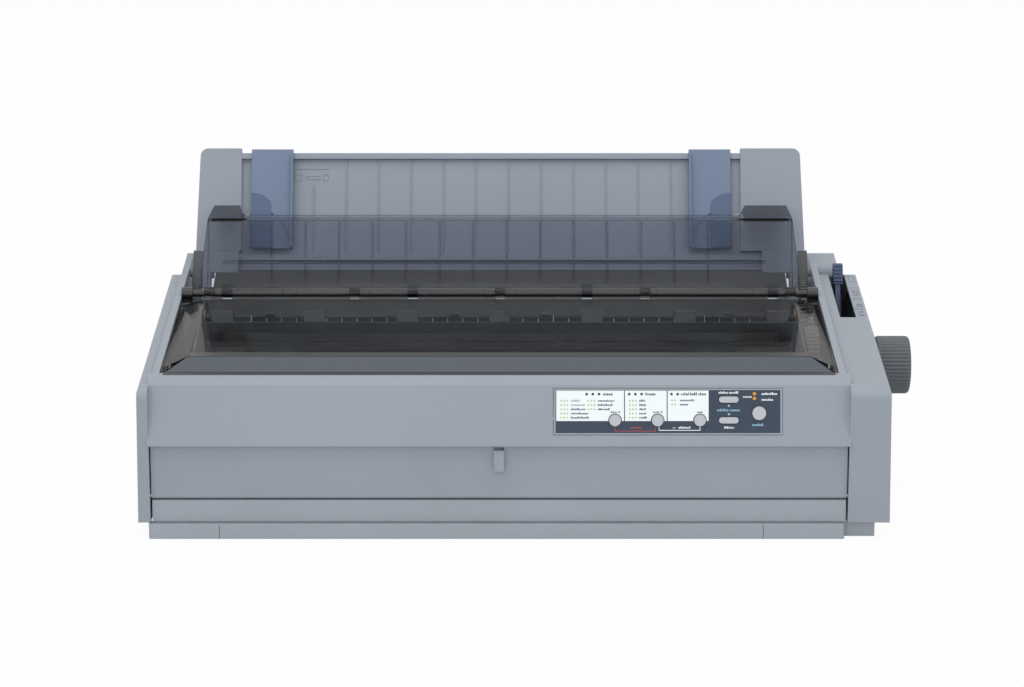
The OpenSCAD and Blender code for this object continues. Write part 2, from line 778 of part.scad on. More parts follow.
module frame_ties() placed() color(steel_color * 0.95) {
    // rear channel
    block([-frame_half, frame_rear - 4, 84], [frame_half, frame_rear - 2, 100]);
    block([-frame_half, frame_rear - 16, 82], [frame_half, frame_rear - 2, 84]);
    // front channel
    block([-frame_half, 40, 62], [frame_half, 42, 74]);
    block([-frame_half, 40, 60], [frame_half, 54, 62]);
    cartridge_rests();
    tractor_support_shaft();
    idler_stud();
}

module chassis_plate() placed() color(steel_color) {
    difference() {
        block([-frame_out, frame_front - 4, chassis_z], [frame_out, frame_rear + 4, frame_low]);
        for (x = boss_xs, y = boss_ys) rod_z(chassis_z - 1, frame_low + 1, x, y, screw_d + 0.4);
        for (i = [0 : 11], y = vent_ys) translate([vent_x + i * vent_pitch, y + 6, 0])
            cube([vent_w, vent_l - 12, frame_low + 1]);
    }
}

// ---- platen ----
platen_half = frame_half - 6;
gear_w = 5;
gear_x = frame_out + 2;
outer_x = gear_x + gear_w + 1.5;

module platen() placed() color([0.10, 0.10, 0.11]) difference() {
    rod_x(-platen_half, platen_half, platen_y, platen_z, platen_d);
    rod_x(-platen_half - 1, platen_half + 1, platen_y, platen_z, platen_shaft_d);
}

module platen_shaft() placed() color(steel_color) {
    rod_x(-frame_out - 3, knob_end - 5, platen_y, platen_z, platen_shaft_d);
}

flutes = 46;
module platen_knob() placed() color([0.27, 0.29, 0.30]) {
    x0 = right_w + 1.2;
    r = knob_d / 2;
    difference() {
        translate([x0, platen_y, platen_z]) rotate([90, 0, 90]) rotate_extrude() polygon(concat(
            [[0, 0], [r - 2, 0], [r, 3]],
            arc(r - 3.4, knob_end - x0 - 3.4, 3.4, 0, 90, 4),
            [[0, knob_end - x0]]
        ));
        rod_x(x0 - 1, knob_end - 5, platen_y, platen_z, platen_shaft_d);
        for (i = [0 : flutes - 1]) {
            a = i * 360 / flutes;
            rod_x(x0 + 3, knob_end + 1, platen_y + (r + 0.5) * cos(a), platen_z + (r + 0.5) * sin(a), 2.2);
        }
        // hollow rim round the shaft
        translate([knob_end - 1.5, platen_y, platen_z]) rotate([0, 90, 0]) cylinder(h = 3, d = knob_d - 16);
    }
}

// ---- gears ----
function gear_r(teeth) = teeth * gear_m / 2;
backlash = 0.35;

// One gear with straight-sided teeth; turn is the direction of one tooth from +Y towards +Z
module gear(teeth, p, turn, bore, x = gear_x, w = gear_w) {
    r = gear_r(teeth);
    step = 360 / teeth;
    root = r - 1.15 * gear_m;
    tip = r + 0.85 * gear_m;
    half_tip = 0.13 * step;
    half_root = (0.25 * step - backlash / 2 / r * 57.3 - 0.575 * half_tip) / 0.425;
    translate([x, p[0], p[1]]) rotate([90, 0, 90]) difference() {
        linear_extrude(w) polygon([for (i = [0 : teeth - 1], k = [0 : 3])
            let (a = turn + i * step + [-half_root, -half_tip, half_tip, half_root][k],
                 q = [root, tip, tip, root][k])
            [q * cos(a), q * sin(a)]]);
        translate([0, 0, -1]) cylinder(h = w + 2, d = bore);
    }
}

// Direction of a tooth of the second gear, so that it meshes with the first at the angle between them
function mesh_turn(turn, teeth1, teeth2, angle) =
    angle + 180 + 180 / teeth2 - (turn - angle) * teeth1 / teeth2;
function ahead(p, distance, angle) = [p[0] + distance * cos(angle), p[1] + distance * sin(angle)];
function angle_to(a, b) = atan2(b[1] - a[1], b[0] - a[0]);

train_angle = 4.5;
train_teeth = 53;
tractor_teeth = 24;
roller_teeth = 16;
idler_teeth = 20;
pinion_teeth = 12;
pinion_angle = -120;
stud_d = 6;
platen_p = [platen_y, platen_z];
front_gear_p = ahead(platen_p, gear_r(platen_teeth + train_teeth), train_angle);
rear_gear_p = ahead(front_gear_p, gear_r(2 * train_teeth), train_angle);
tractor_p = ahead(rear_gear_p, gear_r(train_teeth + tractor_teeth), train_angle);
pinion_p = ahead(platen_p, gear_r(platen_teeth + pinion_teeth), pinion_angle);
roller_p = [208.5, 132.6];
// the roller idler touches both the platen gear and the roller gear, below the line between them
idler_reach = gear_r(platen_teeth + idler_teeth);
roller_reach = gear_r(roller_teeth + idler_teeth);
roller_gap = norm(roller_p - platen_p);
idler_swing = acos((idler_reach ^ 2 + roller_gap ^ 2 - roller_reach ^ 2) / (2 * idler_reach * roller_gap));
roller_idler_p = ahead(platen_p, idler_reach, angle_to(platen_p, roller_p) - idler_swing);
platen_turn = train_angle;
front_turn = mesh_turn(platen_turn, platen_teeth, train_teeth, train_angle);
rear_turn = mesh_turn(front_turn, train_teeth, train_teeth, train_angle);
tractor_turn = mesh_turn(rear_turn, train_teeth, tractor_teeth, train_angle);
pinion_turn = mesh_turn(platen_turn, platen_teeth, pinion_teeth, pinion_angle);
idler_turn = mesh_turn(platen_turn, platen_teeth, idler_teeth, angle_to(platen_p, roller_idler_p));
roller_turn = mesh_turn(idler_turn, idler_teeth, roller_teeth, angle_to(roller_idler_p, roller_p));
gear_color = [0.85, 0.84, 0.80];
outer_end = outer_x + gear_w;
stud_points = [
    [front_gear_p[0], front_gear_p[1], outer_end + 1], [rear_gear_p[0], rear_gear_p[1], outer_end + 1],
    [roller_idler_p[0], roller_idler_p[1], gear_x + gear_w + 0.5]
];

module platen_gear() placed() color(gear_color)
    gear(platen_teeth, platen_p, platen_turn, platen_shaft_d, gear_x, outer_end - gear_x);

module feed_gear_front() placed() color(gear_color)
    gear(train_teeth, front_gear_p, front_turn, stud_d + 2 * run_fit, outer_x);

module feed_gear_rear() placed() color(gear_color)
    gear(train_teeth, rear_gear_p, rear_turn, stud_d + 2 * run_fit, outer_x);

module roller_idler() placed() color(gear_color)
    gear(idler_teeth, roller_idler_p, idler_turn, stud_d + 2 * run_fit);

motor_shaft_d = 5;
motor_d = 42;
motor_x = outer_end + 3;
module feed_motor_pinion() placed() color([0.80, 0.70, 0.40])
    gear(pinion_teeth, pinion_p, pinion_turn, motor_shaft_d + 2 * run_fit, outer_x, gear_w);

module feed_motor() placed() color([0.45, 0.46, 0.48]) {
    rod_x(motor_x, motor_x + 30, pinion_p[0], pinion_p[1], motor_d);
    rod_x(outer_x - 1, motor_x + 1, pinion_p[0], pinion_p[1], motor_shaft_d);
    rod_x(motor_x - 1.5, motor_x + eps, pinion_p[0], pinion_p[1], motor_d + 4);
    // posts that hold the motor to the side frame
    for (a = [-140, -95, -50]) {
        q = ahead(pinion_p, 26, a);
        rod_x(frame_out, motor_x, q[0], q[1], 6);
        rod_x(motor_x - 1.5, motor_x + eps, q[0], q[1], 10);
    }
}

// ---- output rollers ----
roller_shaft_d = 6;
roller_d = 14.6;
roller_l = 17;
roller_pitch = (frame_half - 17) / 3;
roller_y = roller_p[0];
roller_z = roller_p[1];

module tension_rollers() placed() {
    color([0.12, 0.12, 0.12]) for (i = [-3 : 3]) translate([i * roller_pitch, 0, 0]) difference() {
        rod_x(-roller_l / 2, roller_l / 2, roller_y, roller_z, roller_d);
        rod_x(-roller_l, roller_l, roller_y, roller_z, roller_shaft_d - eps);
    }
    color(steel_color) rod_x(-frame_out - 1, gear_x + gear_w, roller_y, roller_z, roller_shaft_d);
    color(gear_color) gear(roller_teeth, roller_p, roller_turn, roller_shaft_d - eps);
}

tick_pitch = 13.1;
tray_end = 330;
tray_z = 149;
module tension_unit() placed() color(inner_color) {
    z_top = 130;
    difference() {
        union() {
            block([-frame_half + clear, 178, z_top - 3], [frame_half - clear, 230, z_top]);
            block([-frame_half + clear, 178, z_top - 3], [frame_half - clear, 181, z_top + 6]);
            block([-frame_half + clear, 227, z_top - 8], [frame_half - clear, 230, z_top]);
        }
        for (i = [-3 : 3])
            block([i * roller_pitch - roller_l / 2 - 2, roller_y - 10, 0],
                  [i * roller_pitch + roller_l / 2 + 2, roller_y + 10, 200]);
        both_sides() rod_x(frame_half - 1.5, frame_half + 1, roller_y, roller_z, roller_shaft_d + 11);
        // channel for the roller shaft
        block([-frame_half, roller_y - 4, z_top - 0.6], [frame_half, roller_y + 4, rod_z]);
    }
    // tray behind the rollers that carries the sheet up to the guide
    along_x(-frame_half + clear, frame_half - clear)
        polygon([[229, 126], [229, 128.5], [tray_end, tray_z], [tray_end, tray_z - 2.5]]);
    for (i = [-3 : 3]) along_x(i * 70 - 1, i * 70 + 1)
        polygon([[229, 123], [229, 127], [tray_end - 8, tray_z - 3.5], [tray_end - 8, tray_z - 6]]);
    // bearing blocks of the roller shaft
    for (k = [-2.5, -0.5, 0.5, 2.5]) difference() {
        x = k * roller_pitch;
        block([x - 4, roller_y - 7, z_top - 3], [x + 4, roller_y + 7, roller_z + 4.5]);
        rod_x(x - 5, x + 5, roller_y, roller_z, roller_shaft_d + 2 * run_fit);
    }
    // scale along the front edge
    for (i = [-17 : 17]) translate([i * tick_pitch - 0.4, 177.8, z_top + 1]) cube([0.8, 0.3, 4]);
}

// ---- paper path ----
sheet_half = frame_half - 54;
module paper_path() placed() color(steel_color * 0.9) {
    // guide under the platen and up to the tractors
    along_x(-frame_half + 16, frame_half - 16) {
        r_in = platen_r + 2.5;
        r_out = r_in + 1.5;
        n = 14;
        polygon(concat(
            [for (i = [0 : n]) ahead(platen_p, r_out, -150 + i * (132) / n)],
            [[318, 112], [318, 113.6]],
            [for (i = [0 : n]) ahead(platen_p, r_in, -18 - i * (132) / n)]
        ));
    }
    // guide from the front cover
    along_x(-sheet_half, sheet_half) polygon([
        [13, 37], [125, 37], [147, 60], [151, 78], [149.5, 78.3], [145.8, 61], [124.4, 38.5], [13, 38.5]
    ]);
    // brackets that join the guides to the side frames
    both_sides() {
        block([frame_half - 16.5, 192, 96.5], [frame_half, 202, 99]);
        block([frame_half - 16.5, 290, 107], [frame_half, 300, 109.5]);
        block([sheet_half - 1, 60, 37], [frame_half, 70, 38.5]);
    }
}

// ---- tractors ----
tractor_shaft_d = 8;
tractor_span = 24;
tractor_y = tractor_p[0];
tractor_z = tractor_p[1];
tractor_y2 = tractor_y + tractor_span;
tractor_w = 22;
tractor_r = 12;
tractor_x = 150;
pin_pitch = 12.7;
door_z = tractor_z + tractor_r + 3.6;
door_w = 25;

module tractor_drive_shaft() placed() {
    color(steel_color) rod_x(-frame_out - 1, outer_end, tractor_y, tractor_z, tractor_shaft_d);
    color(gear_color) gear(tractor_teeth, tractor_p, tractor_turn, tractor_shaft_d - eps, outer_x);
}

module tractor_support_shaft() color(steel_color)
    rod_x(-frame_out, frame_out, tractor_y2, tractor_z, tractor_shaft_d);

module tractor(x) placed() color([0.22, 0.23, 0.25]) {
    x0 = x - tractor_w / 2;
    hx = x + sign(x) * (tractor_w / 2 + 1.5);
    belt_top = tractor_z + tractor_r;
    difference() {
        union() {
            for (y = [tractor_y, tractor_y2]) rod_x(x0, x0 + tractor_w, y, tractor_z, 2 * tractor_r);
            block([x0, tractor_y, tractor_z - tractor_r], [x0 + tractor_w, tractor_y2, tractor_z + tractor_r]);
            // lugs of the door hinge
            for (y = [tractor_y - 6, tractor_y2 + 1])
                block([hx - 3, y, tractor_z], [hx + 3, y + 5, door_z + 2]);
        }
        for (y = [tractor_y, tractor_y2])
            rod_x(x0 - 6, x0 + tractor_w + 6, y, tractor_z, tractor_shaft_d + 2 * run_fit);
    }
    // feed pins of the belt
    for (i = [0 : 2])
        rod_z(belt_top - eps, belt_top + 1.8, x, tractor_y - 0.7 + i * pin_pitch, 3.6);
    // hinge pin of the door
    rod_y(tractor_y - 3, tractor_y2 + 3, hx, door_z, 2.4);
}

module tractor_left() { tractor(-tractor_x); }
module tractor_right() { tractor(tractor_x); }

module tractor_door(x) placed() color([0.25, 0.26, 0.28]) {
    side = sign(x);
    hx = x + side * (tractor_w / 2 + 1.5);
    difference() {
        union() {
            block([min(hx, hx - side * door_w), tractor_y - 0.5, door_z - 0.9],
                  [max(hx, hx - side * door_w), tractor_y2 + 0.5, door_z + 0.9]);
            rod_y(tractor_y - 0.5, tractor_y2 + 0.5, hx, door_z, 5);
        }
        rod_y(tractor_y - 4, tractor_y2 + 4, hx, door_z, 2.4 + 2 * run_fit);
        // slot over the feed pins
        block([x - 3.2, tractor_y + 3, door_z - 2], [x + 3.2, tractor_y2 - 3, door_z + 2]);
    }
}

module tractor_door_left() { tractor_door(-tractor_x); }
module tractor_door_right() { tractor_door(tractor_x); }

// ---- shaft bushes ----
module bush(side, y, z, d_hole, d_shaft) {
    x0 = side > 0 ? frame_half - 1 : -frame_out - 0.8;
    flange = side > 0 ? frame_half - 1 : -frame_half;
    difference() {
        union() {
            rod_x(x0, x0 + frame_t + 1.8, y, z, d_hole);
            rod_x(flange, flange + 1, y, z, d_hole + 4);
        }
        rod_x(x0 - 1, x0 + frame_t + 3, y, z, d_shaft + 2 * run_fit);
    }
}

module shaft_bushes() placed() color([0.75, 0.62, 0.35]) for (side = [-1, 1]) {
    bush(side, platen_y, platen_z, platen_shaft_d + 6, platen_shaft_d);
    bush(side, roller_y, roller_z, roller_shaft_d + 6, roller_shaft_d);
    bush(side, tractor_y, tractor_z, tractor_shaft_d + 5, tractor_shaft_d);
}

// ---- carriage ----
rail_y = 118;
rail_z = 66;
rail2_y = 86;
rail2_z = 60;
rail2_d = 8;
carriage_half = 30;
carriage_low = 54;
carriage_high = 77;
pulley_x = frame_half - 26;
pulley_y = 100;
pulley_r = 7;
belt_z0 = 44.2;
belt_z1 = 51.8;
belt_in = pulley_r + clear;
belt_out = belt_in + 1.2;
nose_y = 141.4;

module carriage_rails() placed() color([0.80, 0.81, 0.83]) {
    rod_x(-frame_out - 1.5, frame_out + 1.5, rail_y, rail_z, rail_d);
    rod_x(-frame_out - 1.5, frame_out + 1.5, rail2_y, rail2_z, rail2_d);
}

module carriage() placed() color([0.16, 0.16, 0.17]) {
    difference() {
        along_x(-carriage_half, carriage_half) polygon([
            [77, carriage_low], [129, carriage_low], [131, 60], [131, 72], [127, carriage_high + 3],
            [92, carriage_high + 3], [90, carriage_high - 6], [77, carriage_high - 10]
        ]);
        rod_x(-carriage_half - 1, carriage_half + 1, rail_y, rail_z, rail_d + 2 * run_fit);
        // open slot on the second rail
        rod_x(-carriage_half - 1, carriage_half + 1, rail2_y, rail2_z, rail2_d + 0.8);
        slot_half = rail2_d / 2 + 0.4;
        block([-carriage_half - 1, 70, rail2_z - slot_half], [carriage_half + 1, rail2_y, rail2_z + slot_half]);
    }
    // jaws that hold the belt
    y_run = pulley_y - (belt_in + belt_out) / 2;
    block([-8, y_run - 2.8, belt_z0 + 1], [8, y_run - 0.9, carriage_low + eps]);
    block([-8, y_run + 0.9, belt_z0 + 1], [8, y_run + 2.8, carriage_low + eps]);
}

module print_head() placed() color([0.25, 0.25, 0.27]) {
    z0 = carriage_high + 3;
    block([-17, 96, z0], [17, 122, 118]);
    // cooling fins
    for (i = [0 : 6]) block([-20, 93, z0 + 3 + i * 5], [20, 125, z0 + 5 + i * 5]);
    // nose that reaches the ribbon
    along_x(-8, 8) polygon([[121, 92], [134, 97], [nose_y, 99.5], [nose_y, 108.5], [134, 111], [121, 116]]);
}

module carriage_motor() placed() color([0.42, 0.43, 0.45]) {
    rod_z(frame_low + flange_t + clear, 39, -pulley_x, pulley_y, 36);
    block([-frame_half, pulley_y - 20, 39 - eps], [-pulley_x + 22, pulley_y + 20, 40.5]);
    rod_z(40, belt_z1 + 3, -pulley_x, pulley_y, motor_shaft_d);
}

module pulley(x) placed() color([0.82, 0.82, 0.80]) difference() {
    union() {
        rod_z(belt_z0 - 1.6, belt_z1 + 1.6, x, pulley_y, 2 * pulley_r);
        rod_z(belt_z0 - 1.6, belt_z0 - 0.5, x, pulley_y, 2 * pulley_r + 5);
        rod_z(belt_z1 + 0.5, belt_z1 + 1.6, x, pulley_y, 2 * pulley_r + 5);
    }
    rod_z(belt_z0 - 3, belt_z1 + 3, x, pulley_y, motor_shaft_d + 2 * run_fit);
}

module drive_pulley() { pulley(-pulley_x); }
module idler_pulley() { pulley(pulley_x); }

module idler_stud() color(steel_color) {
    rod_z(frame_low, belt_z1 + 3, pulley_x, pulley_y, motor_shaft_d);
    rod_z(frame_low, belt_z0 - 2, pulley_x, pulley_y, 14);
    rod_z(frame_low, frame_low + 2, pulley_x, pulley_y, 26);
}

module belt_shape(r) {
    square([2 * pulley_x, 2 * r], center = true);
    for (s = [-1, 1]) translate([s * pulley_x, 0]) circle(r);
}

module carriage_belt() placed() color([0.1, 0.1, 0.1])
    translate([0, pulley_y, belt_z0]) linear_extrude(belt_z1 - belt_z0) difference() {
        belt_shape(belt_out);
        belt_shape(belt_in);
    }

// ---- ribbon ----
cartridge_half = frame_half - 16;
cartridge_z0 = 100;
cartridge_z1 = 116;
ribbon_knob_x = -cartridge_half + 33;
ribbon_knob_y = 56;

module ribbon_cartridge() placed() color([0.13, 0.13, 0.14]) {
    difference() {
        translate([0, 0, cartridge_z0]) linear_extrude(cartridge_z1 - cartridge_z0) {
            translate([0, 58]) rounded(2 * cartridge_half, 54, 10);
            both_sides() translate([cartridge_half - 10, 104.5]) rounded(20, 77, 2);
        }
        rod_z(cartridge_z0 - 1, cartridge_z1 + 1, ribbon_knob_x, ribbon_knob_y, 6 + 2 * run_fit);
    }
    // stiffening ribs on the lid
    for (x = [-150 : 50 : 150]) block([x - 1, 36, cartridge_z1 - eps], [x + 1, 80, cartridge_z1 + 1]);
}

module ribbon() placed() color([0.05, 0.05, 0.06])
    block([-cartridge_half + 20, 142.2, 99 + 2], [cartridge_half - 20, 142.7, 99 + 14]);

module ribbon_knob() placed() color([0.45, 0.47, 0.50]) {
    rod_z(cartridge_z0, cartridge_z1 + 2, ribbon_knob_x, ribbon_knob_y, 6);
    rod_z(cartridge_z1 + 0.4, cartridge_z1 + 3, ribbon_knob_x, ribbon_knob_y, 24);
    difference() {
        rod_z(cartridge_z1 + 3 - eps, cartridge_z1 + 8, ribbon_knob_x, ribbon_knob_y, 20);
        translate([ribbon_knob_x, ribbon_knob_y, 0]) for (i = [0 : 11])
            rotate([0, 0, i * 30]) rod_z(cartridge_z1 + 3, cartridge_z1 + 9, 10.6, 0, 3);
    }
}

module cartridge_rests() color(steel_color) both_sides()
    for (x = [cartridge_half - 118, cartridge_half - 38])
        block([x - 8, 43, 62], [x + 8, 44.5, cartridge_z0 - clear]);

// ---- release lever ----
lever_x = open_half + 19;
lever_y = 232;
lever_z = 60;
lever_stud_d = 6;
lever_reach = 117;
lever_angle = 62.4;

module release_lever() placed() color([0.24, 0.33, 0.47]) difference() {
    union() {
        rod_x(lever_x, lever_x + 7, lever_y, lever_z, 16);
        translate([0, lever_y, lever_z]) rotate([lever_angle, 0, 0]) {
            along_x(lever_x + 1.2, lever_x + 5.6)
                polygon([[0, -6], [lever_reach - 18, -4], [lever_reach - 18, 4], [0, 6]]);
            along_x(lever_x, lever_x + 8) polygon(concat(
                [[lever_reach - 20, -5], [lever_reach - 4, -6]],
                arc(lever_reach - 5, 0, 5, -60, 60, 4),
                [[lever_reach - 4, 6], [lever_reach - 20, 5]]
            ));
            // grip ribs
            for (i = [0 : 4], s = [-1, 1])
                translate([lever_x, lever_reach - 18 + i * 3.4, s * 5.8 - 0.9]) cube([8, 1.5, 1.8]);
        }
    }
    rod_x(lever_x - 1, lever_x + 9, lever_y, lever_z, lever_stud_d + 2 * run_fit);
}

// ---- electrics ----
board_x1 = right_w - 116;
board_x0 = board_x1 - 260;
board_y0 = total_d - 202;
board_y1 = total_d - 34;
board_z = 30;
board_top = board_z + 1.6;

module main_board() placed() {
    color([0.14, 0.36, 0.24]) block([board_x0, board_y0, board_z], [board_x1, board_y1, board_top]);
    color(steel_color) for (x = [board_x0 + 8, board_x1 - 8], y = [board_y0 + 8, board_y1 - 8])
        rod_z(frame_low, board_z, x, y, 6);
    // processor, memory, a power transistor's cooler and capacitors
    translate([board_x0, board_y0, board_top - eps]) {
        color([0.1, 0.1, 0.1]) {
            translate([60, 40, 0]) cube([28, 28, 2.4]);
            translate([120, 36, 0]) cube([30, 14, 2.4]);
            translate([170, 80, 0]) cube([40, 12, 10.4]);
        }
        color([0.2, 0.25, 0.45]) for (i = [0 : 3]) rod_z(0, 18.4, 20 + i * 16, 120, 12);
    }
    interface_ports();
}

supply_x = -frame_half + 16;
supply_w = 138;
supply_y0 = total_d - 192;
supply_y1 = total_d - 40;
supply_top = 62;
supply_t = 2;
module power_supply() placed() color(steel_color * 0.92) difference() {
    block([supply_x, supply_y0, frame_low], [supply_x + supply_w, supply_y1, supply_top]);
    // open louvres in the lid
    for (i = [0 : 12]) translate([supply_x + 10 + i * 9.5, supply_y0 + 15, supply_top - 6])
        cube([4, supply_y1 - supply_y0 - 30, 7]);
    block([supply_x + supply_t, supply_y0 + supply_t, frame_low + supply_t],
          [supply_x + supply_w - supply_t, supply_y1 - supply_t, supply_top - supply_t]);
}

module power_inlet() placed() color([0.08, 0.08, 0.08]) {
    b = inlet_box;
    difference() {
        block([b[0] + clear, total_d - 24, b[1] + clear], [b[0] + b[2] - clear, total_d, b[1] + b[3] - clear]);
        block([b[0] + 3, total_d - 16, b[1] + 3], [b[0] + b[2] - 3, total_d + 1, b[1] + b[3] - 3]);
    }
    // the three contacts
    for (p = [[0, 3.4], [-6, -2], [6, -2]]) {
        cx = b[0] + b[2] / 2 + p[0];
        cz = b[1] + b[3] / 2 + p[1];
        block([cx - 1, total_d - 17, cz - 2], [cx + 1, total_d - 3, cz + 2]);
    }
}

// A socket that stands on the main board, with a nose through the opening p of the rear wall;
// its mouth is set in by rim on all sides
module port_shell(p, back, rim, mouth_d) difference() {
    union() {
        block([p[0] + clear, back, board_top],
              [p[0] + p[2] - clear, total_d - wall - clear, p[1] + p[3] - clear]);
        block([p[0] + clear, back, p[1] + clear], [p[0] + p[2] - clear, total_d - 0.5, p[1] + p[3] - clear]);
    }
    block([p[0] + rim, total_d - mouth_d, p[1] + rim], [p[0] + p[2] - rim, total_d + 1, p[1] + p[3] - rim]);
}

module interface_ports() {
    p = parallel_box;
    color([0.75, 0.76, 0.78]) port_shell(p, total_d - 46, 4, 12);
    // tongue with the contacts
    color([0.1, 0.1, 0.1])
        block([p[0] + 9, total_d - 13, p[1] + 7.5], [p[0] + p[2] - 9, total_d - 3, p[1] + p[3] - 7.5]);
    color([0.78, 0.79, 0.80]) port_shell(usb_box, total_d - 40, 2, 9);
}

module slot_cover() placed() color(case_color * 0.95) {
    s = slot_box;
    block([s[0] + clear, total_d - 2, s[1] + clear], [s[0] + s[2] - clear, total_d - 0.4, s[1] + s[3] - clear]);
    for (x = [s[0] + 8, s[0] + s[2] - 8])
        block([x - 3, total_d - wall - 2.5, s[1] - 4], [x + 3, total_d - wall - clear, s[1] + s[3] + 4]);
    for (x = [s[0] + 8, s[0] + s[2] - 8])
        block([x - 2, total_d - wall - 1, s[1] + 3], [x + 2, total_d - 1, s[1] + 10]);
}

module power_switch() placed() color([0.1, 0.1, 0.1]) difference() {
    block([-left_w + 0.4, switch_y + clear, switch_z + clear],
          [-left_w + 24, switch_y + switch_l - clear, switch_z + switch_w - clear]);
    translate([-left_w - 1, switch_y + 2, switch_z + 2]) cube([11, switch_l - 4, switch_w - 4]);
    rod_z(switch_z + 1, switch_z + switch_w - 1, -left_w + 6, switch_y + switch_l / 2, 2 + 2 * run_fit);
}

module switch_rocker() placed() color([0.15, 0.15, 0.15])
    translate([-left_w + 6, switch_y + switch_l / 2, 0]) {
        translate([0, 0, switch_z + 2.4]) linear_extrude(switch_w - 4.8) polygon([
            [-4.2, -10], [-3.2, 0], [-5.6, 9.6], [1, 9.6], [3, 0], [1, -10]
        ]);
        rod_z(switch_z + 1.4, switch_z + switch_w - 1.4, 0, 0, 2);
    }

upper_case();
lower_case();
rubber_feet();
case_screws();
front_cover();
front_hinge_pins();
printer_cover();
output_flap();
cover_hinge_rod();
sheet_guide();
edge_guide_left();
edge_guide_right();
control_panel();
panel_overlay();
panel_board();
font_button();
pitch_button();
tear_off_button();
load_button();
line_feed_button();
pause_button();
side_frame_left();
side_frame_right();
frame_ties();
chassis_plate();
shaft_bushes();
platen();
platen_shaft();
platen_knob();
platen_gear();
feed_gear_front();
feed_gear_rear();
feed_motor();
feed_motor_pinion();
tension_unit();
tension_rollers();
roller_idler();
paper_path();
tractor_drive_shaft();
tractor_left();
tractor_right();
tractor_door_left();
tractor_door_right();
carriage_rails();
carriage();
print_head();
carriage_motor();
drive_pulley();
idler_pulley();
carriage_belt();
ribbon_cartridge();
ribbon();
ribbon_knob();
release_lever();
main_board();
power_supply();
power_inlet();
power_switch();
switch_rocker();
slot_cover();
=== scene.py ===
import math
import random

import bpy
import bmesh
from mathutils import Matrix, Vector


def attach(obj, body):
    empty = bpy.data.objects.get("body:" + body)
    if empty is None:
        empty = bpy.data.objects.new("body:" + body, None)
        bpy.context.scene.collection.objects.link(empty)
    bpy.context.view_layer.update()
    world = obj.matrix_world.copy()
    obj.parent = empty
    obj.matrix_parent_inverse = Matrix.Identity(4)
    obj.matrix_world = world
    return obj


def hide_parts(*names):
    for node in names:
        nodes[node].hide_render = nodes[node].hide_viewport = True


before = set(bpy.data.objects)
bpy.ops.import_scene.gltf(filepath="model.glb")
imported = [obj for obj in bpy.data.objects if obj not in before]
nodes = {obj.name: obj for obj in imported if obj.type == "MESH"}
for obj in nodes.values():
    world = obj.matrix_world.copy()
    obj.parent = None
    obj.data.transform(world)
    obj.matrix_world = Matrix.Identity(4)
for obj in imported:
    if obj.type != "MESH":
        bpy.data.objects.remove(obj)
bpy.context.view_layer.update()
print("printer frame loaded,", len(nodes), "nodes")


# camera, floor and light

cameraPlan = {
    "place": (-0.0171, -2.7468, 0.8231),   # metres, in the printer's own frame
    "lookDown": 14.5,                      # degrees below level, straight along +Y
    "lens": 116.02,                        # mm, as is the sensor's width
    "sensor": 36,
    "clip": (0.05, 60),                    # metres, nearest and farthest
}

studioPlan = {
    "worldLight": 0.62,
    "worldTint": (0.965, 0.98, 1.0, 1),
    "floorColor": (0.86, 0.865, 0.87, 1),
    "floorSize": 14.0,
    "floorGlow": 0.96,                      # share of plain white in what the camera sees of the floor
    # name: place, size, watts
    "softboxes": {
        "topSoftbox": ((0.0, -0.5, 2.6), (3.4, 2.6), 34.0),
        "frontSoftbox": ((-0.5, -3.4, 1.5), (3.0, 2.0), 22.0),
    },
    "softboxAim": (0, 0, 0.1),
}


def addNode(tree, kind, values=None, **settings):
    node = tree.nodes.new(kind)
    for name, value in settings.items():
        setattr(node, name, value)
    for name, value in (values or {}).items():
        feed(tree, node.inputs[name], value)
    return node


def feed(tree, target, source):
    # a socket is linked, anything else becomes the target's own value
    if isinstance(source, bpy.types.NodeSocket):
        tree.links.new(source, target)
    else:
        target.default_value = source


def addObject(name, data):
    made = bpy.data.objects.new(name, data)
    bpy.context.scene.collection.objects.link(made)
    return made


def addCamera(plan):
    camera = addObject("camera", bpy.data.cameras.new("camera"))
    camera.location = plan["place"]
    camera.rotation_euler = (math.radians(90 - plan["lookDown"]), 0, 0)
    camera.data.lens = plan["lens"]
    camera.data.sensor_width = plan["sensor"]
    camera.data.clip_start, camera.data.clip_end = plan["clip"]
    bpy.context.scene.camera = camera


def addSoftbox(name, place, size, power, aim):
    lamp = bpy.data.lights.new(name, "AREA")
    lamp.shape = "RECTANGLE"
    lamp.size, lamp.size_y = size
    lamp.energy = power
    box = addObject(name, lamp)
    box.location = place
    box.rotation_euler = (Vector(aim) - Vector(place)).to_track_quat("-Z", "Y").to_euler()


def seenShare(tree):
    # 1 for what the camera sees directly, in a reflection or through the smoked covers
    path = addNode(tree, "ShaderNodeLightPath")
    share = calc(tree, "MAXIMUM", path.outputs["Is Camera Ray"], path.outputs["Is Glossy Ray"])
    return calc(tree, "MAXIMUM", share, path.outputs["Is Transmission Ray"])


def calc(tree, operation, first, second=0.0, clamp=False):
    node = addNode(tree, "ShaderNodeMath", operation=operation, use_clamp=clamp)
    feed(tree, node.inputs[0], first)
    feed(tree, node.inputs[1], second)
    return node.outputs[0]


def mixColor(tree, factor, first, second, blendType="MIX"):
    node = addNode(tree, "ShaderNodeMix", data_type="RGBA", blend_type=blendType)
    feed(tree, node.inputs[0], factor)
    feed(tree, node.inputs[6], first)
    feed(tree, node.inputs[7], second)
    return node.outputs[2]


def spread(tree, value, low, high, fromLow=0.0, fromHigh=1.0):
    node = addNode(tree, "ShaderNodeMapRange", {"From Min": fromLow, "From Max": fromHigh,
                                                "To Min": low, "To Max": high})
    feed(tree, node.inputs["Value"], value)
    return node.outputs["Result"]


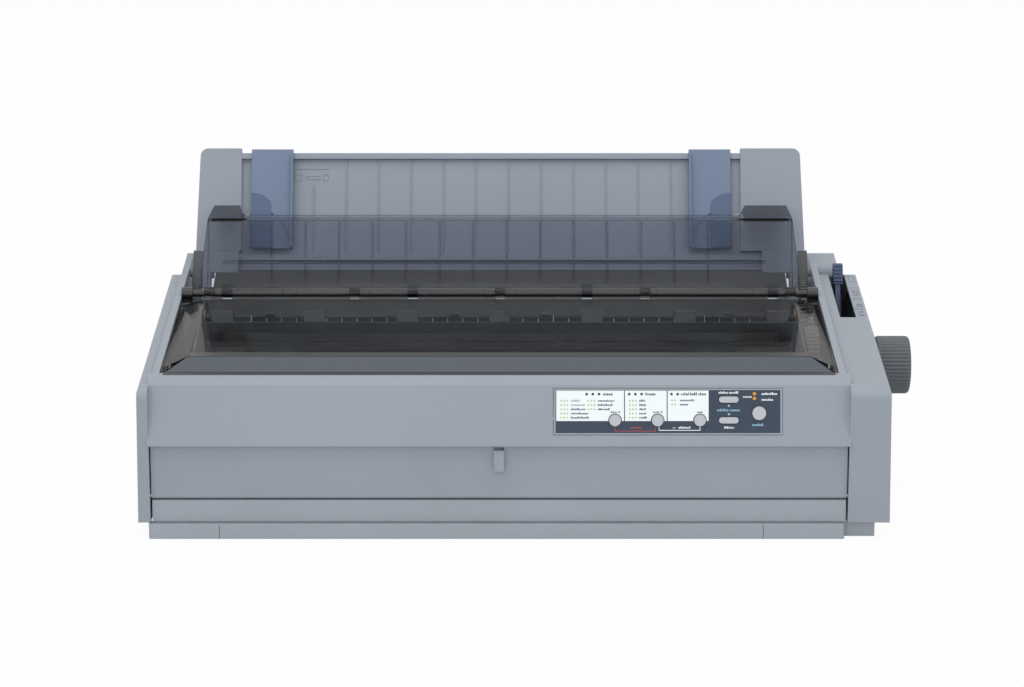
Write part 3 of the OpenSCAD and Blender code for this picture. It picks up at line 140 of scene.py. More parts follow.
def setWorld(plan):
    world = bpy.data.worlds.new("studio")
    bpy.context.scene.world = world
    world.use_nodes = True
    tree = world.node_tree
    tree.nodes.clear()
    soft = addNode(tree, "ShaderNodeBackground", {"Color": plan["worldTint"], "Strength": plan["worldLight"]})
    white = addNode(tree, "ShaderNodeBackground", {"Color": (1, 1, 1, 1), "Strength": 1.0})
    mix = addNode(tree, "ShaderNodeMixShader", {"Fac": seenShare(tree)})
    feed(tree, mix.inputs[1], soft.outputs[0])
    feed(tree, mix.inputs[2], white.outputs[0])
    end = addNode(tree, "ShaderNodeOutputWorld")
    feed(tree, end.inputs["Surface"], mix.outputs[0])


def addFloor(plan):
    half = plan["floorSize"] / 2
    mesh = bpy.data.meshes.new("floor")
    corners = [(-half, -half, 0), (half, -half, 0), (half, half, 0), (-half, half, 0)]
    mesh.from_pydata(corners, [], [(0, 1, 2, 3)])
    floor = addObject("floor", mesh)
    material = bpy.data.materials.new("floor")
    material.use_nodes = True
    tree = material.node_tree
    tree.nodes.clear()
    paper = addNode(tree, "ShaderNodeBsdfDiffuse", {"Color": plan["floorColor"]})
    white = addNode(tree, "ShaderNodeEmission", {"Color": (1, 1, 1, 1), "Strength": 1.0})
    glow = calc(tree, "MULTIPLY", seenShare(tree), plan["floorGlow"])
    mix = addNode(tree, "ShaderNodeMixShader", {"Fac": glow})
    feed(tree, mix.inputs[1], paper.outputs[0])
    feed(tree, mix.inputs[2], white.outputs[0])
    end = addNode(tree, "ShaderNodeOutputMaterial")
    feed(tree, end.inputs["Surface"], mix.outputs[0])
    mesh.materials.append(material)


addCamera(cameraPlan)
setWorld(studioPlan)
addFloor(studioPlan)
for name, (place, size, power) in studioPlan["softboxes"].items():
    addSoftbox(name, place, size, power, studioPlan["softboxAim"])
bpy.context.scene.view_settings.view_transform = "Standard"
print("camera and studio set")


# effects that several finishes share

def newGroup(name, inputs, outputs):
    group = bpy.data.node_groups.new(name, "ShaderNodeTree")
    for socketName, value in inputs:
        socket = group.interface.new_socket(name=socketName, in_out="INPUT", socket_type="NodeSocketFloat")
        socket.default_value = value
    for socketName, kind in outputs:
        group.interface.new_socket(name=socketName, in_out="OUTPUT", socket_type=kind)
    return group, group.nodes.new("NodeGroupInput"), group.nodes.new("NodeGroupOutput")


def objectPoint(tree):
    return addNode(tree, "ShaderNodeTexCoord").outputs["Object"]


def addNoise(tree, scale, detail, **more):
    # cloudy noise in the printer's own frame, as a height between 0 and 1
    values = {"Vector": objectPoint(tree), "Scale": scale, "Detail": detail}
    values.update(more)
    return addNode(tree, "ShaderNodeTexNoise", values).outputs["Fac"]


def buildGrain():
    # the pebble that a spark-eroded mould leaves, and a slow drift in tone
    tree, start, end = newGroup("mouldedGrain", [("Pebble", 0.0007), ("Drift Size", 0.12)],
                                [("Height", "NodeSocketFloat"), ("Tone", "NodeSocketFloat")])
    fine = addNoise(tree, calc(tree, "DIVIDE", 1.0, start.outputs["Pebble"]), 2.0, Roughness=0.6)
    cellScale = calc(tree, "DIVIDE", 0.8, start.outputs["Pebble"])
    cells = addNode(tree, "ShaderNodeTexVoronoi",
                    {"Vector": objectPoint(tree), "Smoothness": 0.6, "Scale": cellScale}, feature="SMOOTH_F1")
    height = calc(tree, "ADD", fine, calc(tree, "MULTIPLY", cells.outputs["Distance"], 0.6))
    drift = addNoise(tree, calc(tree, "DIVIDE", 1.0, start.outputs["Drift Size"]), 3.0, Roughness=0.55)
    feed(tree, end.inputs["Height"], height)
    feed(tree, end.inputs["Tone"], spread(tree, drift, 0.0, 1.0, 0.3, 0.7))
    return tree


def buildEdge():
    # rounds the light over sharp corners, and marks the edges; the plastics paint that mark lighter, as
    # polish from hands and years and as a painted highlight, and the smoked plates paint it dark, as painted
    # edge shade
    tree, start, end = newGroup("softEdge", [("Radius", 0.0008)],
                                [("Normal", "NodeSocketVector"), ("Edge", "NodeSocketFloat")])
    bevel = addNode(tree, "ShaderNodeBevel", {"Radius": start.outputs["Radius"]}, samples=4)
    face = addNode(tree, "ShaderNodeNewGeometry")
    dot = addNode(tree, "ShaderNodeVectorMath", operation="DOT_PRODUCT")
    feed(tree, dot.inputs[0], bevel.outputs["Normal"])
    feed(tree, dot.inputs[1], face.outputs["Normal"])
    bend = calc(tree, "SUBTRACT", 1.0, dot.outputs["Value"], clamp=True)
    edgePatchNoise = spread(tree, addNoise(tree, 90.0, 3.0), 0.6, 1.0, 0.35, 0.6)
    edgeWearAndLight = calc(tree, "MULTIPLY", spread(tree, bend, 0.0, 1.0, 0.01, 0.2), edgePatchNoise)
    feed(tree, end.inputs["Normal"], bevel.outputs["Normal"])
    feed(tree, end.inputs["Edge"], edgeWearAndLight)
    return tree


def buildDust():
    # a thin fall of dust on what faces up, thicker in patches
    tree, start, end = newGroup("dustFall", [("Amount", 0.2), ("Patch", 0.05)], [("Dust", "NodeSocketFloat")])
    face = addNode(tree, "ShaderNodeNewGeometry")
    parts = addNode(tree, "ShaderNodeSeparateXYZ", {"Vector": face.outputs["Normal"]})
    up = calc(tree, "POWER", calc(tree, "MAXIMUM", parts.outputs["Z"], 0.0), 3.0)
    patches = addNoise(tree, calc(tree, "DIVIDE", 1.0, start.outputs["Patch"]), 5.0)
    specks = addNoise(tree, 1400.0, 1.0)
    cover = calc(tree, "ADD", spread(tree, patches, 0.1, 0.8, 0.35, 0.7),
                 spread(tree, specks, 0.0, 0.6, 0.62, 0.75))
    fall = calc(tree, "MULTIPLY", up, cover)
    feed(tree, end.inputs["Dust"], calc(tree, "MULTIPLY", fall, start.outputs["Amount"], clamp=True))
    return tree


grainGroup = buildGrain()
edgeGroup = buildEdge()
dustGroup = buildDust()


def useGroup(tree, group, **values):
    node = tree.nodes.new("ShaderNodeGroup")
    node.node_tree = group
    for name, value in values.items():
        feed(tree, node.inputs[name], value)
    return node


def newFinish(name):
    material = bpy.data.materials.new(name)
    material.use_nodes = True
    tree = material.node_tree
    tree.nodes.clear()
    shader = tree.nodes.new("ShaderNodeBsdfPrincipled")
    end = tree.nodes.new("ShaderNodeOutputMaterial")
    feed(tree, end.inputs["Surface"], shader.outputs[0])
    return material, tree, shader


def tint(red, green, blue):
    # a colour as it shows on a screen, 0 to 255, in the shader's linear units
    def linear(value):
        share = value / 255
        return share / 12.92 if share <= 0.04045 else ((share + 0.055) / 1.055) ** 2.4
    return (linear(red), linear(green), linear(blue), 1)


def setBump(tree, shader, depth, height, normal=None):
    values = {"Strength": 1.0, "Distance": depth, "Height": height}
    if normal:
        values["Normal"] = normal
    bump = addNode(tree, "ShaderNodeBump", values)
    feed(tree, shader.inputs["Normal"], bump.outputs["Normal"])


def shade(color, factor):
    return tuple(min(1.0, part * factor) for part in color[:3]) + (1,)


# finishes

plasticPlan = {
    # name: color, roughness, pebble, grain depth, edge radius, edge lift (lighter edges for wear and a
    # painted highlight), dust
    "caseGrey": (tint(150, 157, 166), 0.52, 0.00065, 0.00005, 0.0013, 0.9, 0.05),
    "baseGrey": (tint(158, 165, 173), 0.52, 0.00065, 0.00005, 0.0009, 0.5, 0.05),
    "bevelReflectionGrey": (tint(68, 75, 86), 0.42, 0.0009, 0.00002, 0.0004, 0.2, 0.0),
    "paintedShadeBlack": (tint(20, 21, 24), 0.3, 0.0009, 0.00001, 0.0002, 0.1, 0.0),
    "guideGrey": (tint(146, 153, 165), 0.55, 0.00060, 0.00005, 0.0008, 0.3, 0.04),
    "guideBlue": (tint(112, 129, 154), 0.5, 0.00060, 0.00004, 0.0007, 0.25, 0.03),
    "leverBlue": (tint(62, 80, 110), 0.45, 0.00060, 0.00003, 0.0006, 0.25, 0.03),
    "buttonGrey": (tint(186, 189, 194), 0.4, 0.0004, 0.00002, 0.0005, 0.2, 0.02),
    "knobGrey": (tint(92, 97, 102), 0.55, 0.0005, 0.00004, 0.0005, 0.3, 0.05),
    "housingGrey": (tint(132, 134, 138), 0.5, 0.0006, 0.00004, 0.0005, 0.2, 0.1),
    "innerDark": (tint(74, 75, 75), 0.5, 0.0006, 0.00004, 0.0005, 0.2, 0.03),
    "gearGrey": (tint(118, 117, 112), 0.38, 0.0009, 0.00001, 0.0003, 0.1, 0.05),
    "guideShade": (tint(84, 101, 130), 0.5, 0.0006, 0.00004, 0.0007, 0.25, 0.03),
    "cheekShadeGrey": (tint(82, 84, 88), 0.5, 0.0006, 0.00004, 0.0005, 0.2, 0.03),
    "blackRubber": (tint(36, 36, 38), 0.8, 0.0005, 0.00006, 0.0005, 0.15, 0.1),
    "beltBlack": (tint(28, 28, 29), 0.75, 0.0004, 0.00005, 0.0003, 0.1, 0.05),
}
dustColor = tint(176, 172, 164)
plasticLook = {
    "drift": (0.965, 1.03),          # darkest and lightest share of the color
    "polishAndHighlight": 1.5,                   # how much lighter edges are, for rubbed polish and a painted highlight
    "roughDrift": (-0.04, 0.05),
    "edgeGloss": 0.12,
    "index": 1.5, "specular": 0.45,
}


def mouldedPlastic(name, plan):
    color, roughness, pebble, depth, radius, wearAndHighlightLift, dust = plan
    material, tree, shader = newFinish(name)
    grain = useGroup(tree, grainGroup, Pebble=pebble)
    edge = useGroup(tree, edgeGroup, Radius=radius)
    fall = useGroup(tree, dustGroup, Amount=dust)
    dark, light = (shade(color, share) for share in plasticLook["drift"])
    body = mixColor(tree, grain.outputs["Tone"], dark, light)
    # painted highlight: edges are lifted to a lighter colour, partly polish from wear, partly the highlight
    # that light puts on them
    polishAndHighlightColor = shade(color, plasticLook["polishAndHighlight"])
    edgeWearAndLight = mixColor(tree, calc(tree, "MULTIPLY", edge.outputs["Edge"], wearAndHighlightLift), body, polishAndHighlightColor)
    feed(tree, shader.inputs["Base Color"], mixColor(tree, fall.outputs["Dust"], edgeWearAndLight, dustColor))
    smoothest, roughest = (roughness + part for part in plasticLook["roughDrift"])
    rough = spread(tree, grain.outputs["Tone"], smoothest, roughest)
    gloss = calc(tree, "MULTIPLY", edge.outputs["Edge"], plasticLook["edgeGloss"])
    feed(tree, shader.inputs["Roughness"], calc(tree, "SUBTRACT", rough, gloss))
    setBump(tree, shader, depth, grain.outputs["Height"], edge.outputs["Normal"])
    shader.inputs["IOR"].default_value = plasticLook["index"]
    shader.inputs["Specular IOR Level"].default_value = plasticLook["specular"]
    return material


finishes = {name: mouldedPlastic(name, plan) for name, plan in plasticPlan.items()}


smokePlan = {
    # name: what the plate keeps of the light behind it, roughness, refractive index
    "smokedCover": ((0.65, 0.65, 0.635, 1), 0.02, 1.1),
    "smokedFlap": ((0.52, 0.54, 0.59, 1), 0.02, 1.15),
}
smokeLook = {"edgeRadius": 0.0009, "smearShade": 0.96, "wingShade": 0.3, "edgeShade": 0.12,
             "flowDepth": 0.00002}
# metres in the printer's own frame: the wings lie above this height and outside these two places in X
wingPlan = {"above": 0.2078, "left": -0.2505, "right": 0.1845}


def wingShare(tree):
    # 1 on the thick wings at both ends of the flap's lip
    place = addNode(tree, "ShaderNodeSeparateXYZ", {"Vector": objectPoint(tree)})
    high = calc(tree, "GREATER_THAN", place.outputs["Z"], wingPlan["above"])
    ends = calc(tree, "ADD", calc(tree, "LESS_THAN", place.outputs["X"], wingPlan["left"]),
                calc(tree, "GREATER_THAN", place.outputs["X"], wingPlan["right"]))
    return calc(tree, "MULTIPLY", high, ends)


def smokedPlastic(name, plan):
    keep, roughness, index = plan
    material, tree, shader = newFinish(name)
    edge = useGroup(tree, edgeGroup, Radius=smokeLook["edgeRadius"])
    smear = spread(tree, addNoise(tree, 14.0, 6.0, Distortion=1.5), 0.0, 1.0, 0.42, 0.7)
    clear = mixColor(tree, smear, keep, shade(keep, smokeLook["smearShade"]))
    if name == "smokedFlap":
        clear = mixColor(tree, wingShare(tree), clear, shade(keep, smokeLook["wingShade"]))
    # painted shade: the edges of the smoked plates are darkened in colour
    edgeShadeMask = calc(tree, "MULTIPLY", edge.outputs["Edge"], 2.0, clamp=True)
    rim = shade(keep, smokeLook["edgeShade"])
    feed(tree, shader.inputs["Base Color"], mixColor(tree, edgeShadeMask, clear, rim))
    feed(tree, shader.inputs["Roughness"], spread(tree, smear, roughness, roughness + 0.02))
    setBump(tree, shader, smokeLook["flowDepth"], addNoise(tree, 30.0, 1.0), edge.outputs["Normal"])
    shader.inputs["Transmission Weight"].default_value = 1.0
    shader.inputs["IOR"].default_value = index
    return material


finishes.update({name: smokedPlastic(name, plan) for name, plan in smokePlan.items()})


metalPlan = {
    # name: color, roughness, streak direction as scales along X, Y and Z, streak depth
    "zincSheet": (tint(190, 192, 196), 0.38, (6.0, 260.0, 260.0), 0.00001),
    # painted shade: the zinc side frames get a dark grey for the shade inside the printer
    "paintedShadeSheet": (tint(84, 86, 90), 0.45, (260.0, 6.0, 260.0), 0.00001),
    "turnedSteel": (tint(205, 206, 209), 0.22, (2600.0, 4.0, 4.0), 0.000006),
    "brassBush": (tint(196, 160, 92), 0.3, (2600.0, 30.0, 30.0), 0.000006),
    "rodBlack": (tint(30, 31, 34), 0.28, (900.0, 8.0, 8.0), 0.000006),
    "motorPaint": (tint(74, 77, 82), 0.42, (40.0, 40.0, 40.0), 0.00001),
    "headFins": (tint(70, 71, 76), 0.35, (300.0, 20.0, 300.0), 0.00001),
}
paintedMetals = ("paintedShadeSheet", "motorPaint", "rodBlack")


def brushedMetal(name, plan):
    color, roughness, streaks, depth = plan
    material, tree, shader = newFinish(name)
    edge = useGroup(tree, edgeGroup, Radius=0.0004)
    fall = useGroup(tree, dustGroup, Amount=0.08)
    stretch = addNode(tree, "ShaderNodeMapping", {"Vector": objectPoint(tree), "Scale": streaks})
    lines = addNode(tree, "ShaderNodeTexNoise", {"Vector": stretch.outputs[0], "Scale": 1.0, "Detail": 4.0})
    cloud = addNode(tree, "ShaderNodeTexVoronoi", {"Vector": objectPoint(tree), "Scale": 90.0})
    body = mixColor(tree, lines.outputs["Fac"], shade(color, 0.88), shade(color, 1.06))
    plated = mixColor(tree, calc(tree, "MULTIPLY", cloud.outputs["Distance"], 0.12), body, shade(color, 0.7))
    feed(tree, shader.inputs["Base Color"], mixColor(tree, fall.outputs["Dust"], plated, dustColor))
    rough = spread(tree, lines.outputs["Fac"], roughness - 0.07, roughness + 0.1)
    feed(tree, shader.inputs["Roughness"], rough)
    setBump(tree, shader, depth, lines.outputs["Fac"], edge.outputs["Normal"])
    shader.inputs["Metallic"].default_value = 0.0 if name in paintedMetals else 1.0
    return material


finishes.update({name: brushedMetal(name, plan) for name, plan in metalPlan.items()})


def printedFilm(name, color, roughness):
    # the polyester film of the control panel, with a faint orange peel under its gloss
    material, tree, shader = newFinish(name)
    grain = useGroup(tree, grainGroup, Pebble=0.0011)
    edge = useGroup(tree, edgeGroup, Radius=0.0002)
    feed(tree, shader.inputs["Base Color"],
         mixColor(tree, grain.outputs["Tone"], shade(color, 0.97), shade(color, 1.03)))
    rough = spread(tree, grain.outputs["Tone"], roughness - 0.03, roughness + 0.04)
    feed(tree, shader.inputs["Roughness"], rough)
    setBump(tree, shader, 0.00001, grain.outputs["Height"], edge.outputs["Normal"])
    shader.inputs["Specular IOR Level"].default_value = 0.2
    return material


filmPlan = {
    # name: color, roughness
    "panelSlate": (tint(60, 71, 86), 0.4),
    "inkWhite": (tint(243, 249, 250), 0.4),
    "inkSlate": (tint(62, 70, 82), 0.42),
    "inkPale": (tint(168, 174, 178), 0.42),
    "inkRed": (tint(176, 84, 88), 0.42),
    "inkSky": (tint(150, 196, 222), 0.42),
    "lampGreen": (tint(168, 206, 118), 0.22),
    "lampAmber": (tint(222, 150, 60), 0.22),
}
finishes.update({name: printedFilm(name, *plan) for name, plan in filmPlan.items()})


boardPlan = {
    "top": 0.0317, "front": -0.01, "sockets": 0.1535,    # metres: top face in Z, edges in Y
    "mask": tint(20, 84, 54), "track": tint(34, 112, 70), "pad": tint(196, 198, 196),
    "part": tint(38, 38, 41), "tinned": tint(172, 174, 178), "maskDepth": 0.00004,
}


def circuitBoard():
    # green solder mask over copper tracks
    material, tree, shader = newFinish("boardGreen")
    point = objectPoint(tree)
    tracks = addNode(tree, "ShaderNodeTexVoronoi", {"Vector": point, "Scale": 130.0}, distance="MANHATTAN",
                     feature="F1")
    lane = spread(tree, tracks.outputs["Distance"], 0.0, 1.0, 0.50, 0.53)
    pads = addNode(tree, "ShaderNodeTexVoronoi", {"Vector": point, "Scale": 260.0, "Randomness": 0.0})
    dots = spread(tree, pads.outputs["Distance"], 1.0, 0.0, 0.20, 0.24)
    mask = mixColor(tree, lane, boardPlan["mask"], boardPlan["track"])
    board = mixColor(tree, calc(tree, "MULTIPLY", dots, 0.8), mask, boardPlan["pad"])
    # what stands on the main board: black parts, and the tinned shells of the sockets at its rear
    place = addNode(tree, "ShaderNodeSeparateXYZ", {"Vector": point})
    onTop = calc(tree, "MULTIPLY", calc(tree, "GREATER_THAN", place.outputs["Z"], boardPlan["top"]),
                 calc(tree, "GREATER_THAN", place.outputs["Y"], boardPlan["front"]))
    atRear = calc(tree, "GREATER_THAN", place.outputs["Y"], boardPlan["sockets"])
    parts = mixColor(tree, atRear, boardPlan["part"], boardPlan["tinned"])
    feed(tree, shader.inputs["Base Color"], mixColor(tree, onTop, board, parts))
    feed(tree, shader.inputs["Roughness"], spread(tree, lane, 0.28, 0.4))
    setBump(tree, shader, boardPlan["maskDepth"], lane)
    return material


finishes["boardGreen"] = circuitBoard()


ribbonPlan = {"weave": 900.0, "valley": tint(14, 14, 20), "thread": tint(38, 38, 48), "weaveDepth": 0.00005}


def inkedRibbon():
    # woven nylon, wet with ink
    material, tree, shader = newFinish("ribbonNylon")
    point = objectPoint(tree)
    threads = {"Vector": point, "Scale": ribbonPlan["weave"]}
    warp = addNode(tree, "ShaderNodeTexWave", threads, bands_direction="X")
    weft = addNode(tree, "ShaderNodeTexWave", threads, bands_direction="Z")
    weave = calc(tree, "MULTIPLY", warp.outputs["Fac"], weft.outputs["Fac"])
    feed(tree, shader.inputs["Base Color"], mixColor(tree, weave, ribbonPlan["valley"], ribbonPlan["thread"]))
    feed(tree, shader.inputs["Roughness"], spread(tree, weave, 0.5, 0.8))
    setBump(tree, shader, ribbonPlan["weaveDepth"], weave)
    return material


finishes["ribbonNylon"] = inkedRibbon()
print("finishes made:", len(finishes))


finishOf = {
    "caseGrey": ["upper_case", "front_cover", "control_panel", "slot_cover"],
    "baseGrey": ["lower_case"],
    "guideGrey": ["sheet_guide"],
    "smokedCover": ["printer_cover"],
    "smokedFlap": ["output_flap"],
    "guideBlue": ["edge_guide_left", "edge_guide_right"],
    "leverBlue": ["release_lever"],
    "panelSlate": ["panel_overlay"],
    "buttonGrey": ["font_button", "pitch_button", "tear_off_button", "load_button", "line_feed_button",
                   "pause_button"],
    "boardGreen": ["panel_board", "main_board"],
    "zincSheet": ["frame_ties", "chassis_plate", "power_supply"],
    "paintedShadeSheet": ["side_frame_left", "side_frame_right"],
    "turnedSteel": ["front_hinge_pins", "case_screws", "platen_shaft", "carriage_rails"],
    "rodBlack": ["cover_hinge_rod"],
    "brassBush": ["shaft_bushes", "feed_motor_pinion"],
    "blackRubber": ["platen", "rubber_feet"],
    "gearGrey": ["platen_gear", "feed_gear_front", "feed_gear_rear", "roller_idler", "drive_pulley",
                 "idler_pulley", "tractor_drive_shaft"],
    "motorPaint": ["feed_motor", "carriage_motor"],
    # the paper path and tension unit take this dark grey too, painted shade of the printer's inside under the
    # smoked cover
    "innerDark": ["paper_path", "tension_unit", "tension_rollers", "tractor_left", "tractor_right",
                  "tractor_door_left", "tractor_door_right", "carriage", "ribbon_cartridge", "ribbon_knob",
                  "power_inlet", "power_switch", "switch_rocker"],
    "headFins": ["print_head"],
    "beltBlack": ["carriage_belt"],
    "ribbonNylon": ["ribbon"],
}


def dressNodes(plan):
    for finish, names in plan.items():
        for name in names:
            for place in nodes[name].material_slots:
                place.material = finishes[finish]


dressNodes(finishOf)
print("nodes dressed")


# places on the printer, given in millimetres from the print line, the front and the table

printLine = Vector((-0.0275, -0.201, 0.0))


def onPrinter(x, y, z):
    return printLine + Vector((x, y, z)) / 1000


def onTilted(x, footY, footZ, turn, along, out):
    # so far along a face that starts at its foot and rises by turn, and so far out of it
    return onPrinter(x, footY + along * math.cos(turn) - out * math.sin(turn),
                     footZ + along * math.sin(turn) + out * math.cos(turn))


slopes = {
    # a sloping face: its foot in Y and Z, how far it leans back, and how far its skin stands before the foot
    "panel": (0.0, 79.0, 16.136, 0.2),
    "guide": (297.0, 152.0, 25.8, 1.25),
}
shoulderPlan = {"front": 126.5, "rise": 5.25}    # height at the front, degrees


def onSlope(slope, x, height, out):
    footY, footZ, lean, skin = slopes[slope]
    return onTilted(x, footY, footZ, math.radians(90 - lean), height, out + skin)


def onFilm(x, height, out):
    return onSlope("panel", x, height, out)


def onGuide(x, height, out):
    return onSlope("guide", x, height, out)


def onShoulder(x, y, out):
    # the tops of the case's sides rise to the rear
    rise = math.radians(shoulderPlan["rise"])
    height = shoulderPlan["front"] + y * math.tan(rise)
    return onPrinter(x, y - out * math.sin(rise), height + out * math.cos(rise))


def onFront(x, z, out):
    # an upright face that looks to the front: out counts from the printer's front towards the viewer
    return onPrinter(x, -out, z)


def addPrism(shape, outline, place, low, high, slot=0):
    # a closed slab between two heights over a surface; place turns (x, y, height) into a point
    foot = [shape.verts.new(place(x, y, low)) for x, y in outline]
    head = [shape.verts.new(place(x, y, high)) for x, y in outline]
    faces = [shape.faces.new(head), shape.faces.new(foot[::-1])]
    for i in range(len(outline)):
        j = (i + 1) % len(outline)
        faces.append(shape.faces.new((foot[i], foot[j], head[j], head[i])))
    for face in faces:
        face.material_index = slot


def barOutline(x0, y0, x1, y1):
    return [(x0, y0), (x1, y0), (x1, y1), (x0, y1)]


# shares of a word's height, and the least stroke in mm
wordPlan = {"widths": (0.34, 0.5, 0.62), "heights": (0.68, 0.68, 1.0), "gap": 0.2, "least": 0.3}


def addWord(shape, place, x, y, width, height, low, high, slot, seed):
    # strokes of several heights with gaps between, which spell nothing
    pick = random.Random(seed)
    end = x + width
    while x < end - wordPlan["least"]:
        stroke = min(end - x, height * pick.choice(wordPlan["widths"]))
        tall = height * pick.choice(wordPlan["heights"])
        addPrism(shape, barOutline(x, y, x + stroke, y + tall), place, low, high, slot)
        x += stroke + height * wordPlan["gap"]


def meshOf(shape, name):
    bmesh.ops.recalc_face_normals(shape, faces=shape.faces)
    mesh = bpy.data.meshes.new(name)
    shape.to_mesh(mesh)
    shape.free()
    return mesh


def finishPiece(name, shape, looks, body):
    mesh = meshOf(shape, name)
    for look in looks:
        mesh.materials.append(finishes[look])
    piece = addObject(name, mesh)
    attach(piece, body)


# what repeats is made by Geometry Nodes

def newTree(name, inputs):
    tree = bpy.data.node_groups.new(name, "GeometryNodeTree")
    tree.interface.new_socket(name="Geometry", in_out="INPUT", socket_type="NodeSocketGeometry")
    for socketName, kind, value in inputs:
        socket = tree.interface.new_socket(name=socketName, in_out="INPUT", socket_type="NodeSocket" + kind)
        if value is not None:
            socket.default_value = value
    tree.interface.new_socket(name="Geometry", in_out="OUTPUT", socket_type="NodeSocketGeometry")
    return tree, tree.nodes.new("NodeGroupInput"), tree.nodes.new("NodeGroupOutput")


def closeTree(tree, start, end, geometry):
    real = addNode(tree, "GeometryNodeRealizeInstances", {"Geometry": geometry})
    dressed = addNode(tree, "GeometryNodeSetMaterial", {"Geometry": real.outputs[0]})
    feed(tree, dressed.inputs["Material"], start.outputs["Finish"])
    feed(tree, end.inputs["Geometry"], dressed.outputs[0])


def vectorOf(tree, x=0.0, y=0.0, z=0.0):
    node = addNode(tree, "ShaderNodeCombineXYZ")
    for socketName, value in (("X", x), ("Y", y), ("Z", z)):
        feed(tree, node.inputs[socketName], value)
    return node.outputs[0]


def runTree(name, tree, values, look, body, base=None):
    # gives the tree its values, turns what it makes into a plain mesh and lets go of the modifier
    carrier = addObject(name + "Carrier", base or bpy.data.meshes.new(name + "Base"))
    modifier = carrier.modifiers.new(name, "NODES")
    modifier.node_group = tree
    sockets = {item.name: item.identifier for item in tree.interface.items_tree if item.in_out == "INPUT"}
    for socketName, value in values.items():
        modifier[sockets[socketName]] = value
    modifier[sockets["Finish"]] = finishes[look]
    seen = carrier.evaluated_get(bpy.context.evaluated_depsgraph_get())
    mesh = bpy.data.meshes.new_from_object(seen)
    mesh.name = name
    bpy.data.objects.remove(carrier)
    piece = addObject(name, mesh)
    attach(piece, body)
    return piece


def buildDotField():
    # a grid of round dots, its first one at Place; Turn stands the grid on its surface
    tree, start, end = newTree("dotField", [
        ("Columns", "Int", 3), ("Rows", "Int", 1),
        ("Column Step", "Float", 0.0025), ("Row Step", "Float", 0.0034),
        ("Width", "Float", 0.0012), ("Thickness", "Float", 0.0002), ("Place", "Vector", None),
        ("Turn", "Vector", None), ("Finish", "Material", None)])
    ins = start.outputs
    across = addNode(tree, "GeometryNodeMeshLine",
                     {"Count": ins["Columns"], "Offset": vectorOf(tree, ins["Column Step"])})
    upwards = addNode(tree, "GeometryNodeMeshLine",
                      {"Count": ins["Rows"], "Offset": vectorOf(tree, 0.0, ins["Row Step"])})
    rows = addNode(tree, "GeometryNodeInstanceOnPoints",
                   {"Points": upwards.outputs[0], "Instance": across.outputs[0]})
    points = addNode(tree, "GeometryNodeRealizeInstances", {"Geometry": rows.outputs[0]})
    radius = calc(tree, "DIVIDE", ins["Width"], 2.0)
    dot = addNode(tree, "GeometryNodeMeshCylinder",
                  {"Vertices": 16, "Radius": radius, "Depth": ins["Thickness"]})
    dots = addNode(tree, "GeometryNodeInstanceOnPoints",
                   {"Points": points.outputs[0], "Instance": dot.outputs[0]})
    stood = addNode(tree, "GeometryNodeTransform",
                    {"Geometry": dots.outputs[0], "Translation": ins["Place"], "Rotation": ins["Turn"]})
    closeTree(tree, start, end, stood.outputs[0])
    return tree


def buildTickRow():
    # marks in a row along X; every so many of them is a long one
    tree, start, end = newTree("tickRow", [
        ("Count", "Int", 34), ("Step", "Float", 0.0129),
        ("Long Every", "Int", 10), ("Long Factor", "Float", 2.0),
        ("Size", "Vector", None), ("Place", "Vector", None), ("Turn", "Vector", None),
        ("Finish", "Material", None)])
    ins = start.outputs
    line = addNode(tree, "GeometryNodeMeshLine",
                   {"Count": ins["Count"], "Offset": vectorOf(tree, ins["Step"])})
    tick = addNode(tree, "GeometryNodeMeshCube", {"Size": ins["Size"]})
    index = addNode(tree, "GeometryNodeInputIndex")
    isLong = calc(tree, "LESS_THAN", calc(tree, "MODULO", index.outputs[0], ins["Long Every"]), 0.5)
    more = calc(tree, "SUBTRACT", ins["Long Factor"], 1.0)
    stretch = calc(tree, "ADD", 1.0, calc(tree, "MULTIPLY", isLong, more))
    ticks = addNode(tree, "GeometryNodeInstanceOnPoints",
                    {"Points": line.outputs[0], "Instance": tick.outputs[0],
                     "Scale": vectorOf(tree, 1.0, 1.0, stretch)})
    stood = addNode(tree, "GeometryNodeTransform",
                    {"Geometry": ticks.outputs[0], "Translation": ins["Place"], "Rotation": ins["Turn"]})
    closeTree(tree, start, end, stood.outputs[0])
    return tree


def buildScrewSet():
    # one screw on each vertex, along its axis, each turned by its own amount
    tree, start, end = newTree("screwSet", [
        ("Screw", "Object", None), ("Size", "Float", 1.0), ("Seed", "Int", 7), ("Finish", "Material", None)])
    ins = start.outputs
    screw = addNode(tree, "GeometryNodeObjectInfo", {"Object": ins["Screw"]})
    axis = addNode(tree, "GeometryNodeInputNamedAttribute", {"Name": "axis"}, data_type="FLOAT_VECTOR")
    stand = addNode(tree, "FunctionNodeAlignRotationToVector", {"Vector": axis.outputs[0]}, axis="Z")
    spin = addNode(tree, "FunctionNodeRandomValue", {"Seed": ins["Seed"]}, data_type="FLOAT")
    spin.inputs[2].default_value, spin.inputs[3].default_value = 0.0, 3.1
    turn = addNode(tree, "FunctionNodeRotateRotation",
                   {"Rotation": stand.outputs[0], "Rotate By": vectorOf(tree, 0.0, 0.0, spin.outputs[1])},
                   rotation_space="LOCAL")
    size = vectorOf(tree, ins["Size"], ins["Size"], ins["Size"])
    screws = addNode(tree, "GeometryNodeInstanceOnPoints",
                     {"Points": start.outputs["Geometry"], "Instance": screw.outputs["Geometry"],
                      "Rotation": turn.outputs[0], "Scale": size})
    closeTree(tree, start, end, screws.outputs[0])
    return tree


